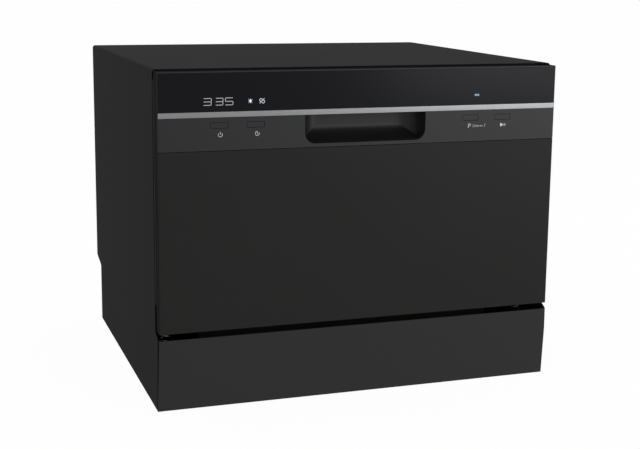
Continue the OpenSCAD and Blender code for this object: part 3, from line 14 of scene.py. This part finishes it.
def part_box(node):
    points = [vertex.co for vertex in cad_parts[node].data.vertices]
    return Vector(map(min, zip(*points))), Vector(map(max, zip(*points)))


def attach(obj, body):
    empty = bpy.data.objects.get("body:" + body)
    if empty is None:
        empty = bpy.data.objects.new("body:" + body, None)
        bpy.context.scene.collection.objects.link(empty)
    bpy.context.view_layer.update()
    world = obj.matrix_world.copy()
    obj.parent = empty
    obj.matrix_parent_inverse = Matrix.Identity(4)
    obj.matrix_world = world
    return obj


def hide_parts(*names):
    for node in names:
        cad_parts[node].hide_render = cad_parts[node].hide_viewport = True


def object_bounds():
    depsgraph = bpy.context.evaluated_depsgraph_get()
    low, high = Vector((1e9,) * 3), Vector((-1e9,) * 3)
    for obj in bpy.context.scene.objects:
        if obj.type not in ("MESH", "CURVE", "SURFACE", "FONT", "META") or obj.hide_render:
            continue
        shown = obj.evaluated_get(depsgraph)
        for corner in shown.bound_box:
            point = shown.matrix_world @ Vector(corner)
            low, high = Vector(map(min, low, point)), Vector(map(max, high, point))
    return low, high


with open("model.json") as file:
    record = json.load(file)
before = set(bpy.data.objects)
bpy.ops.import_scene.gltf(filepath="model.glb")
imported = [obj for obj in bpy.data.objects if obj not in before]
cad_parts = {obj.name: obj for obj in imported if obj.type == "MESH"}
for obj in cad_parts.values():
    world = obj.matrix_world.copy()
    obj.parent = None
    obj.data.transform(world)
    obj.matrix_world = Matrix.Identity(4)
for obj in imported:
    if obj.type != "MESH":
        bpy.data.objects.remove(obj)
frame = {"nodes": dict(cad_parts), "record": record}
cad_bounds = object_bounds()
CAD = frame["nodes"]
MM = 0.001
WHITE = (1.0, 1.0, 1.0, 1.0)


# ---------- Shader nodes ----------

# The colour sockets of a Mix node, which has others of the same names
MIX_COLOUR_A, MIX_COLOUR_B, MIX_COLOUR_RESULT = 6, 7, 2
MOTTLING_DETAIL = 2.0


def add_node(tree, kind, sockets=(), **settings):
    """Adds a shader node. A socket gets a plain value, or the output that it is linked to."""
    made = tree.nodes.new("ShaderNode" + kind)
    for key, value in settings.items():
        setattr(made, key, value)
    for key, value in dict(sockets).items():
        if isinstance(value, bpy.types.NodeSocket):
            tree.links.new(value, made.inputs[key])
        else:
            made.inputs[key].default_value = value
    return made


def noise(tree, vector, scale, detail):
    sockets = {"Vector": vector, "Scale": scale, "Detail": detail, "Roughness": 0.55}
    return add_node(tree, "TexNoise", sockets).outputs["Fac"]


def remap(tree, value, low, high):
    """Spreads the middle of a noise's range over low to high."""
    sockets = {"Value": value, "From Min": 0.3, "From Max": 0.7, "To Min": low, "To Max": high}
    return add_node(tree, "MapRange", sockets).outputs["Result"]


def mixed(tree, factor, low, high):
    """Mixes two colours."""
    made = add_node(tree, "Mix", {"Factor": factor}, data_type="RGBA")
    made.inputs[MIX_COLOUR_A].default_value = (*low, 1.0)
    made.inputs[MIX_COLOUR_B].default_value = (*high, 1.0)
    return made.outputs[MIX_COLOUR_RESULT]


# ---------- Materials ----------


def finish_material(name, base, spread, rough, rough_spread, grain, bump,
                    stretch=(1.0, 1.0, 1.0), mottling=9.0, detail=3.0, **shader):
    """A material with mottled colour, and a fine grain in its roughness and its surface.

    Grain and mottling are noise scales per metre. What shader holds goes to the sockets that it
    names.
    """
    made = bpy.data.materials.new(name)
    made.use_nodes = True
    tree = made.node_tree
    principled = tree.nodes["Principled BSDF"]
    coords = add_node(tree, "TexCoord").outputs["Object"]
    grained = add_node(tree, "Mapping", {"Vector": coords, "Scale": stretch}).outputs["Vector"]
    fine = noise(tree, grained, grain, detail)
    broad = noise(tree, coords, mottling, MOTTLING_DETAIL)
    low = [c * (1.0 - spread) for c in base]
    high = [c * (1.0 + spread) for c in base]
    colour = mixed(tree, broad, low, high)
    roughness = remap(tree, fine, rough - rough_spread, rough + rough_spread)
    relief = add_node(tree, "Bump", {"Height": fine, "Strength": 1.0, "Distance": bump * MM})
    tree.links.new(colour, principled.inputs["Base Color"])
    tree.links.new(roughness, principled.inputs["Roughness"])
    tree.links.new(relief.outputs["Normal"], principled.inputs["Normal"])
    for key, value in shader.items():
        principled.inputs[key.replace("_", " ")].default_value = value
    return made


# Name, base colour, its spread, roughness, its spread, grain, bump, and whatever else is set
LOOKS = (
    # The record's material slots
    ("cabinet_paint", (0.0148, 0.0148, 0.015), 0.06, 0.68, 0.06, 1400.0, 0.012,
     {"Specular_IOR_Level": 0.008}),
    ("door_paint", (0.0125, 0.012, 0.0115), 0.05, 0.4, 0.06, 1500.0, 0.010,
     {"Specular_IOR_Level": 0.09}),
    ("black_plastic", (0.0082, 0.0082, 0.0085), 0.06, 0.42, 0.06, 2200.0, 0.02,
     {"Specular_IOR_Level": 0.25}),
    ("gloss_band", (0.0035, 0.0035, 0.0045), 0.2, 0.2, 0.02, 160.0, 0.001,
     {"Specular_IOR_Level": 0.085}),
    ("silver_trim", (0.19, 0.19, 0.194), 0.03, 0.3, 0.05, 700.0, 0.003,
     {"stretch": (0.02, 1.0, 1.0), "Metallic": 0.9}),
    ("stainless", (0.56, 0.565, 0.57), 0.03, 0.3, 0.04, 2600.0, 0.0015,
     {"stretch": (0.012, 1.0, 1.0), "Metallic": 1.0}),
    ("zinc_steel", (0.52, 0.53, 0.54), 0.12, 0.42, 0.1, 260.0, 0.01,
     {"mottling": 60.0, "Metallic": 1.0}),
    ("grey_plastic", (0.27, 0.29, 0.32), 0.05, 0.42, 0.06, 1600.0, 0.02, {}),
    ("white_plastic", (0.70, 0.71, 0.72), 0.03, 0.4, 0.06, 1500.0, 0.02, {}),
    ("blue_grey_plastic", (0.15, 0.19, 0.25), 0.05, 0.38, 0.06, 1500.0, 0.02, {}),
    ("coated_wire", (0.15, 0.18, 0.23), 0.05, 0.33, 0.06, 700.0, 0.03, {"mottling": 30.0}),
    ("black_rubber", (0.02, 0.02, 0.021), 0.1, 0.7, 0.08, 1200.0, 0.03,
     {"Specular_IOR_Level": 0.3}),
    ("dark_plastic", (0.04, 0.041, 0.045), 0.07, 0.5, 0.06, 1300.0, 0.03, {}),
    ("felt", (0.03, 0.03, 0.031), 0.4, 0.95, 0.04, 420.0, 0.5,
     {"mottling": 90.0, "detail": 6.0, "Specular_IOR_Level": 0.1, "Sheen_Weight": 0.3}),
    ("circuit_board", (0.02, 0.10, 0.05), 0.35, 0.35, 0.06, 240.0, 0.02,
     {"stretch": (1.0, 6.0, 1.0), "mottling": 220.0}),
    ("red_plastic", (0.45, 0.04, 0.03), 0.05, 0.4, 0.06, 1500.0, 0.02, {}),
    ("foam", (0.78, 0.78, 0.74), 0.06, 0.9, 0.05, 900.0, 0.25, {"mottling": 500.0, "detail": 5.0}),
    # Looks of this script alone
    # A dark coat; on the hinges it is painted shade for the gap under the door
    ("coated_steel", (0.012, 0.012, 0.0125), 0.15, 0.55, 0.08, 700.0, 0.02,
     {"mottling": 60.0, "Specular_IOR_Level": 0.12}),
    # Painted shade: a dark finish without reflection for edge and gap faces, in place of their
    # highlights
    ("shaded_edge", (0.016, 0.016, 0.016), 0.06, 0.7, 0.06, 1400.0, 0.012,
     {"Specular_IOR_Level": 0.0}),
    ("digit_light", (0.25, 0.25, 0.26), 0.05, 0.4, 0.05, 800.0, 0.002,
     {"Emission_Color": (0.92, 0.93, 1.0, 1.0), "Emission_Strength": 0.3}),
    ("lit_sign", (0.5, 0.5, 0.52), 0.05, 0.4, 0.05, 800.0, 0.002,
     {"Emission_Color": (0.86, 0.9, 1.0, 1.0), "Emission_Strength": 0.4}),
    ("blue_lamp", (0.3, 0.34, 0.42), 0.05, 0.4, 0.05, 800.0, 0.002,
     {"Emission_Color": (0.6, 0.72, 0.9, 1.0), "Emission_Strength": 0.22}),
    ("smoked_window", (0.0028, 0.0034, 0.0075), 0.2, 0.2, 0.02, 160.0, 0.001,
     {"Specular_IOR_Level": 0.085}),
    ("grey_ink", (0.55, 0.55, 0.55), 0.06, 0.55, 0.06, 900.0, 0.003, {}),
)
MATERIALS = {
    look_name: finish_material(look_name, *values, **extras) for look_name, *values, extras in LOOKS
}

SLOTS = {part["node"]: part["material_slot"] for part in frame["record"]["subparts"]}
BODIES = {
    node: body for body, nodes in frame["record"]["behaviour"]["bodies"].items() for node in nodes
}
for cad_node, cad_slot in SLOTS.items():
    CAD[cad_node].data.materials.clear()
    CAD[cad_node].data.materials.append(MATERIALS[cad_slot])


# ---------- Making pieces ----------

MERGE_DISTANCE = 0.002
FLAT_ANGLE = 0.6      # Degrees, between faces that count as one
SHARP_ANGLE = 28.0    # Degrees, above which an edge is rounded
CREASE_ANGLE = 38.0   # Degrees, above which a refined piece keeps a crease in its shading
ROUND_SEGMENTS = 2


def add_piece(name, mesh, material, body):
    """A shown object that rides on a body of the frame."""
    made = bpy.data.objects.new(name, mesh)
    bpy.context.scene.collection.objects.link(made)
    mesh.materials.append(MATERIALS[material])
    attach(made, body)
    return made


def finished_mesh(work, name):
    """A mesh of what was built, with its faces turned outwards."""
    bmesh.ops.recalc_face_normals(work, faces=work.faces)
    mesh = bpy.data.meshes.new(name)
    work.to_mesh(mesh)
    work.free()
    return mesh


def shaded(mesh, angle):
    """Smooth shading, with creases at the edges sharper than an angle in degrees."""
    mesh.polygons.foreach_set("use_smooth", [True] * len(mesh.polygons))
    mesh.set_sharp_from_angle(angle=math.radians(angle))
    return mesh


def wall(work, low, high):
    """Faces between two closed rows of corners."""
    for i in range(len(low)):
        j = (i + 1) % len(low)
        work.faces.new((low[i], low[j], high[j], high[i]))


def prism(work, outline, place, start, end):
    """A closed solid with one outline from start to end.

    The function place turns the outline's two measures and a third along the solid into x, y and z.
    """
    low, high = (
        [work.verts.new(Vector(place(u, v, along)) * MM) for u, v in outline]
        for along in (start, end)
    )
    wall(work, low, high)
    work.faces.new(low)
    work.faces.new(high)


def refined(node, width, edge=None, reach=3.0, axes=(0, 2), facing=0.6):
    """A piece in the place of a CAD node, with the shape of its solid and edges rounded by a width.

    Faces along its outline that don't look to the front or the back can take an edge material
    of painted shade, a dark finish without reflection that stands for the shade on these edges
    and in the gaps. They lie within reach of its box's limits along the axes, and the y of their
    normal is below facing.
    """
    work = bmesh.new()
    work.from_mesh(CAD[node].data)
    bmesh.ops.remove_doubles(work, verts=work.verts, dist=MERGE_DISTANCE * MM)
    bmesh.ops.dissolve_limit(
        work, angle_limit=math.radians(FLAT_ANGLE), verts=work.verts, edges=work.edges
    )
    edges = [
        e for e in work.edges
        if len(e.link_faces) == 2 and e.calc_face_angle(0.0) > math.radians(SHARP_ANGLE)
    ]
    bmesh.ops.bevel(
        work, geom=edges, offset=width * MM, offset_type="OFFSET", segments=ROUND_SEGMENTS,
        profile=0.5, affect="EDGES", clamp_overlap=True, loop_slide=True, material=-1,
    )
    mesh = bpy.data.meshes.new(node + "_piece")
    work.to_mesh(mesh)
    work.free()
    shaded(mesh, CREASE_ANGLE)
    made = add_piece(node + "_piece", mesh, SLOTS[node], BODIES[node])
    if edge:
        mesh.materials.append(MATERIALS[edge])
        low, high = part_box(node)
        for face in mesh.polygons:
            at = face.center
            rim = min(min(at[axis] - low[axis], high[axis] - at[axis]) for axis in axes)
            face.material_index = int(abs(face.normal.y) < facing and rim < reach * MM)
    weighted = made.modifiers.new("normals", "WEIGHTED_NORMAL")
    weighted.keep_sharp = True
    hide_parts(node)


# ---------- Signs on the door ----------

FACE_Y = cad_bounds[0].y / MM
PRINT_DEPTH = 0.04
STROKE_WIDTH = 0.62   # Of the digits
STROKE_GAP = 0.25     # Between a stroke's end and the corner that it runs to
DIGIT_LEAN = 0.03


def print_on_door(name, shapes, material, share=1.0):
    """Flat outlines in x and z that stand proud of the door by a share of the print's depth."""
    lift = PRINT_DEPTH * share
    work = bmesh.new()
    for outline in shapes:
        prism(work, outline, lambda x, z, y: (x, y, z), FACE_Y - lift, FACE_Y + lift / 2)
    add_piece(name, finished_mesh(work, name), material, "door")


def band(centre, outer, inner, start, end, steps=14):
    """Outline of a part of a ring, between two angles in degrees."""
    x, z = centre
    angles = [math.radians(start + (end - start) * i / steps) for i in range(steps + 1)]
    far = [(x + outer * math.cos(a), z + outer * math.sin(a)) for a in angles]
    near = [(x + inner * math.cos(a), z + inner * math.sin(a)) for a in reversed(angles)]
    return far + near


def bar(start, end, width):
    """Outline of a straight stroke."""
    dx, dz = end[0] - start[0], end[1] - start[1]
    length = math.hypot(dx, dz)
    nx, nz = -dz / length * width / 2, dx / length * width / 2
    return [
        (start[0] + nx, start[1] + nz), (start[0] - nx, start[1] - nz),
        (end[0] - nx, end[1] - nz), (end[0] + nx, end[1] + nz),
    ]


def digit(segments, left, right, low, high):
    """Outlines of a seven segment digit. Its segments are a to f, clockwise from the top, and g."""
    mid = (low + high) / 2
    strokes = {
        "a": ((left, high), (right, high)), "g": ((left, mid), (right, mid)),
        "d": ((left, low), (right, low)), "b": ((right, high), (right, mid)),
        "c": ((right, mid), (right, low)), "f": ((left, high), (left, mid)),
        "e": ((left, mid), (left, low)),
    }
    shapes = []
    for key in segments:
        start, end = strokes[key]
        length = math.hypot(end[0] - start[0], end[1] - start[1])
        ux, uz = (end[0] - start[0]) / length, (end[1] - start[1]) / length
        a = (start[0] + ux * STROKE_GAP, start[1] + uz * STROKE_GAP)
        b = (end[0] - ux * STROKE_GAP, end[1] - uz * STROKE_GAP)
        shapes.append([(x + DIGIT_LEAN * (z - low), z) for x, z in bar(a, b, STROKE_WIDTH)])
    return shapes


def sparkle(x, z):
    """Outlines of a star with four points, and a short ray between each two."""
    tall, wide, waist = 2.9, 2.4, 0.95
    ray_start, ray_end, ray_width = 2.2, 3.3, 0.4
    shapes = [[
        (x, z + tall), (x - waist, z + waist), (x - wide, z), (x - waist, z - waist),
        (x, z - tall), (x + waist, z - waist), (x + wide, z), (x + waist, z + waist),
    ]]
    for i in range(4):
        a = math.radians(90 * i + 45)
        shapes.append(bar(
            (x + ray_start * math.cos(a), z + ray_start * math.sin(a)),
            (x + ray_end * math.cos(a), z + ray_end * math.sin(a)), ray_width,
        ))
    return shapes


def lit_signs():
    """The digits, the two lit signs and the three lamps in the glossy band."""
    time = digit("abcdg", -215.1, -205.2, 393.9, 402.4)
    time += digit("abcdg", -199.6, -190.4, 393.9, 402.4)
    time += digit("acdfg", -187.4, -177.6, 393.9, 402.6)
    print_on_door("display_digits", time, "digit_light")
    windows = [
        [(-161.5, 391.5), (-133.5, 391.5), (-133.5, 404.5), (-161.5, 404.5)],
        [(149.8, 395.2), (162.8, 395.2), (162.8, 407.0), (149.8, 407.0)],
    ]
    print_on_door("sign_windows", windows, "smoked_window", 0.5)
    print_on_door("rinse_sign", sparkle(-155.1, 398.1), "lit_sign")
    salt = [
        band((-141.3, 398.9), 2.1, 1.5, 20, 290), band((-138.5, 396.9), 2.1, 1.5, 200, 470),
        bar((-143.2, 394.7), (-136.8, 401.1), 0.45),
    ]
    print_on_door("salt_sign", salt, "lit_sign")
    lamps = [bar((x, 397.5), (x, 399.7), 1.5) for x in (154.0, 156.3, 158.6)]
    print_on_door("programme_lamps", lamps, "blue_lamp")


def printed_signs():
    """The signs under the four buttons."""
    power = [
        band((-193.8, 356.9), 2.9, 2.35, 142, 398, 20),
        bar((-193.8, 357.3), (-193.8, 360.3), 0.65),
    ]
    print_on_door("power_sign", power, "grey_ink")
    clock = [
        band((-146.1, 357.0), 2.9, 2.35, 88, 385, 24),
        bar((-146.0, 357.0), (-146.0, 360.2), 0.55),
        bar((-146.1, 357.1), (-144.9, 356.4), 0.45),
    ]
    print_on_door("delay_sign", clock, "grey_ink")
    programme = [
        bar((145.2, 354.9), (145.2, 360.6), 0.65), band((146.9, 358.9), 1.7, 1.1, -90, 90),
        bar((145.2, 360.3), (146.9, 360.3), 0.6), bar((145.2, 357.5), (146.9, 357.5), 0.6),
    ]
    programme += [band((150.2 + 2.4 * i, 357.4), 2.2, 1.8, -50, 50) for i in range(3)]
    programme += [bar((158.2 + 2.3 * i, 356.5), (158.2 + 2.3 * i, 357.9), 0.9) for i in range(4)]
    programme += [bar((168.4, 355.9), (169.7, 359.9), 0.4)]
    print_on_door("programme_sign", programme, "grey_ink")
    start = [[(192.2, 355.2), (196.9, 357.8), (192.2, 360.4)]]
    start += [bar((x, 355.9), (x, 359.7), 0.55) for x in (197.9, 199.3)]
    print_on_door("start_sign", start, "grey_ink")


lit_signs()
printed_signs()


# ---------- Nodes with rounded edges, and with another finish than their slot's ----------

for cad_node, edge_width in (
    ("cabinet_wrap", 0.35), ("trim_strip", 0.25), ("button_power", 0.25),
    ("button_delay", 0.25), ("button_program", 0.25), ("button_start", 0.25),
    ("rear_panel", 0.3), ("base_tray", 0.4), ("front_frame", 0.25), ("dispenser_body", 0.4),
    ("dispenser_lid", 0.5), ("rinse_cap", 0.3), ("cutlery_basket", 0.4), ("latch_housing", 0.3),
    ("latch_catch", 0.25), ("tub_floor", 0.4), ("salt_cap", 0.4),
):
    refined(cad_node, edge_width)
# The side and edge faces of these pieces take painted shade in place of their highlights
for cad_node, edge_width in (
    ("door_panel", 0.35), ("control_fascia", 0.35), ("display_panel", 0.4), ("kick_panel", 0.35),
):
    refined(cad_node, edge_width, edge="shaded_edge")
# The liner's side rims, seen through the gap beside the door, take painted shade in place of their
# stainless
refined("door_liner", 0.3, edge="shaded_edge", reach=0.7, axes=(0,), facing=0.98)
# A dark coat on these parts; on the galvanised hinges it is painted shade for the gap under the
# door
for cad_node in ("hinge_brackets", "hinge_arms", "front_crossmember"):
    CAD[cad_node].data.materials[0] = MATERIALS["coated_steel"]


# ---------- Small parts that aren't nodes ----------

SCREW_RADIUS = 3.4
SCREW_HEIGHT = 0.9
SCREW_SIDES = 24
# Of a head's side: shares of its radius and of its height
SCREW_PROFILE = ((1.0, -0.1), (1.0, 0.4), (0.9, 0.75), (0.66, 1.0))
RECESS_FLOOR = 0.35
RECESS_OUTLINE = (
    (0.11, 0.11), (0.11, 0.46), (-0.11, 0.46), (-0.11, 0.11), (-0.46, 0.11), (-0.46, -0.11),
    (-0.11, -0.11), (-0.11, -0.46), (0.11, -0.46), (0.11, -0.11), (0.46, -0.11), (0.46, 0.11),
)
SCREW_CREASE = 30.0
SEAL_CREASE = 50.0
REAR_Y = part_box("rear_panel")[1][1] / MM


def screw(work, place, towards):
    """Adds a low screw head with a cross recess, seated at a place and looking along a vector."""
    turn = Vector((0.0, 0.0, 1.0)).rotation_difference(Vector(towards)).to_matrix().to_4x4()
    seat = Matrix.Translation(Vector(place) * MM) @ turn @ Matrix.Scale(MM, 4)

    def ring(points, level):
        sized = [(x * SCREW_RADIUS, y * SCREW_RADIUS, level * SCREW_HEIGHT) for x, y in points]
        return [work.verts.new(seat @ Vector(corner)) for corner in sized]

    def loop(corners):
        return [
            work.edges.get((corners[i], corners[(i + 1) % len(corners)]))
            for i in range(len(corners))
        ]

    angles = [2.0 * math.pi * i / SCREW_SIDES for i in range(SCREW_SIDES)]
    rings = [
        ring([(r * math.cos(a), r * math.sin(a)) for a in angles], level)
        for r, level in SCREW_PROFILE
    ]
    for low, high in zip(rings, rings[1:]):
        wall(work, low, high)
    rim, pit = ring(RECESS_OUTLINE, 1.0), ring(RECESS_OUTLINE, RECESS_FLOOR)
    wall(work, pit, rim)
    work.faces.new(pit)
    work.faces.new(rings[0])
    bmesh.ops.triangle_fill(work, edges=loop(rings[-1]) + loop(rim), use_beauty=True)


def rear_screws():
    """The screws along the edges of the rear panel."""
    seats = [(x, 425.0) for x in (-256.0, -128.0, 0.0, 128.0, 256.0)]
    seats += [(x, z) for x in (-262.0, 262.0) for z in (190.0, 305.0)]
    seats += [(x, 112.0) for x in (-256.0, -128.0, 128.0, 256.0)]
    work = bmesh.new()
    for x, z in seats:
        screw(work, (x, REAR_Y, z), (0.0, 1.0, 0.0))
    mesh = shaded(finished_mesh(work, "rear_screws"), SCREW_CREASE)
    add_piece("rear_screws", mesh, "zinc_steel", "cabinet")


def soft_strips(name, profiles, place, start, end):
    """Strips of rubber on the cabinet, each a prism with its own profile."""
    work = bmesh.new()
    for profile in profiles:
        prism(work, profile, place, start, end)
    mesh = shaded(finished_mesh(work, name), SEAL_CREASE)
    add_piece(name, mesh, "black_rubber", "cabinet")


def seals_and_gap_shade():
    """Black rubber strips behind the cabinet's front edges, in the gaps round the door; their black
    also stands for the shade in these gaps.
    """
    # Painted shade in part: dark rubber put in the gaps, where there is shade
    top = [
        (-214.0, 437.0), (-207.0, 437.0), (-207.6, 434.5), (-209.0, 431.0), (-210.6, 429.3),
        (-212.4, 429.3), (-213.6, 431.0), (-214.0, 434.0),
    ]
    soft_strips("top_seal_and_gap_shade", [top], lambda y, z, x: (x, y, z), -264.0, 264.0)
    left = [
        (-274.0, -224.0), (-270.8, -224.0), (-270.2, -226.0), (-270.4, -229.0),
        (-271.2, -230.6), (-272.4, -231.2), (-273.5, -231.2), (-274.0, -230.0),
    ]
    right = [(-x, y) for x, y in left]
    soft_strips("side_seals_and_gap_shade", [left, right], lambda x, y, z: (x, y, z), 140.0, 425.0)


rear_screws()
seals_and_gap_shade()


# ---------- Stage ----------

AMBIENT = 0.8          # Strength of the world's light on the object
SEEN_WHITE = 1.0       # Strength of the white that the camera and reflections see
FLOOR_WHITE = 0.97     # Share of that white in what is seen of the floor: the rest has the shadow
FLOOR_COLOUR = (0.85, 0.85, 0.85, 1.0)
FLOOR_SIZE = 60.0      # Metres


def seen(tree):
    """1 for rays from the camera, a reflection or a transmission, and 0 for others."""
    rays = add_node(tree, "LightPath").outputs
    factor = rays["Is Camera Ray"]
    for kind in ("Is Glossy Ray", "Is Transmission Ray"):
        factor = add_node(tree, "Math", {0: factor, 1: rays[kind]}, operation="MAXIMUM").outputs[0]
    return factor


def surface(tree, output, factor, first, second):
    """Mixes two shaders by a factor into the surface of an output node."""
    mix = add_node(tree, "MixShader", {0: factor, 1: first.outputs[0], 2: second.outputs[0]})
    tree.links.new(mix.outputs[0], tree.nodes[output].inputs["Surface"])


def studio():
    """The white floor and the world, which the camera and reflections see as white."""
    world = bpy.data.worlds.new("studio")
    bpy.context.scene.world = world
    world.use_nodes = True
    tree = world.node_tree
    ambient = tree.nodes["Background"]
    ambient.inputs["Color"].default_value = WHITE
    ambient.inputs["Strength"].default_value = AMBIENT
    white = add_node(tree, "Background", {"Color": WHITE, "Strength": SEEN_WHITE})
    surface(tree, "World Output", seen(tree), ambient, white)

    bpy.ops.mesh.primitive_plane_add(size=FLOOR_SIZE, location=(0.0, 0.0, 0.0))
    floor = bpy.context.object
    floor.name = "floor"
    paper = bpy.data.materials.new("floor_paper")
    paper.use_nodes = True
    tree = paper.node_tree
    diffuse = add_node(tree, "BsdfDiffuse", {"Color": FLOOR_COLOUR})
    glow = add_node(tree, "Emission", {"Color": WHITE, "Strength": SEEN_WHITE})
    share = add_node(tree, "Math", {0: seen(tree), 1: FLOOR_WHITE}, operation="MULTIPLY").outputs[0]
    surface(tree, "Material Output", share, diffuse, glow)
    tree.nodes.remove(tree.nodes["Principled BSDF"])
    floor.data.materials.append(paper)


def area_light(name, at, aim, size, power, colour=(1.0, 1.0, 1.0)):
    """A rectangular lamp that the camera doesn't see. Places and sizes are in metres."""
    lamp = bpy.data.lights.new(name, "AREA")
    lamp.shape = "RECTANGLE"
    lamp.size, lamp.size_y = size
    lamp.energy = power
    lamp.color = colour
    holder = bpy.data.objects.new(name, lamp)
    bpy.context.scene.collection.objects.link(holder)
    holder.location = at
    holder.rotation_euler = (Vector(aim) - Vector(at)).to_track_quat("-Z", "Y").to_euler()
    holder.visible_camera = False


def camera():
    """The camera of the photograph.

    Its place in metres, its angles in degrees and its focal length were fitted to the photograph's
    corners, for a principal point in the middle of its columns and at centre_row of its rows.
    """
    place = (-0.5678442, -1.7283, 0.5608149)
    azimuth, elevation, roll = (math.radians(a) for a in (-18.8851, 10.3885, 0.6063))
    focal_px, centre_row, width_px, height_px = 1233.4934, 195.0, 640.0, 449.0
    back = Vector((
        math.sin(azimuth) * math.cos(elevation), -math.cos(azimuth) * math.cos(elevation),
        math.sin(elevation),
    ))
    level = Vector((math.cos(azimuth), math.sin(azimuth), 0.0))
    upward = back.cross(level)
    right = math.cos(roll) * level + math.sin(roll) * upward
    up = -math.sin(roll) * level + math.cos(roll) * upward
    data = bpy.data.cameras.new("camera")
    data.sensor_width = 36.0
    data.lens = focal_px / width_px * data.sensor_width
    data.shift_y = (centre_row - height_px / 2.0) / width_px
    data.clip_start, data.clip_end = 0.05, 60.0
    made = bpy.data.objects.new("camera", data)
    bpy.context.scene.collection.objects.link(made)
    matrix = Matrix((right, up, back)).transposed().to_4x4()
    matrix.translation = place
    made.matrix_world = matrix
    bpy.context.scene.camera = made


studio()
area_light("key", (1.9, -2.6, 0.75), (0.1, -0.2, 0.3), (1.8, 1.4), 36.0, (0.95, 0.97, 1.0))
area_light("fill", (-2.6, -0.8, 1.6), (0.0, 0.0, 0.2), (1.6, 1.6), 6.0)
area_light("top", (0.1, 0.3, 2.6), (0.0, 0.0, 0.3), (2.0, 1.6), 6.0)
camera()
bpy.context.scene.view_settings.view_transform = "Standard"
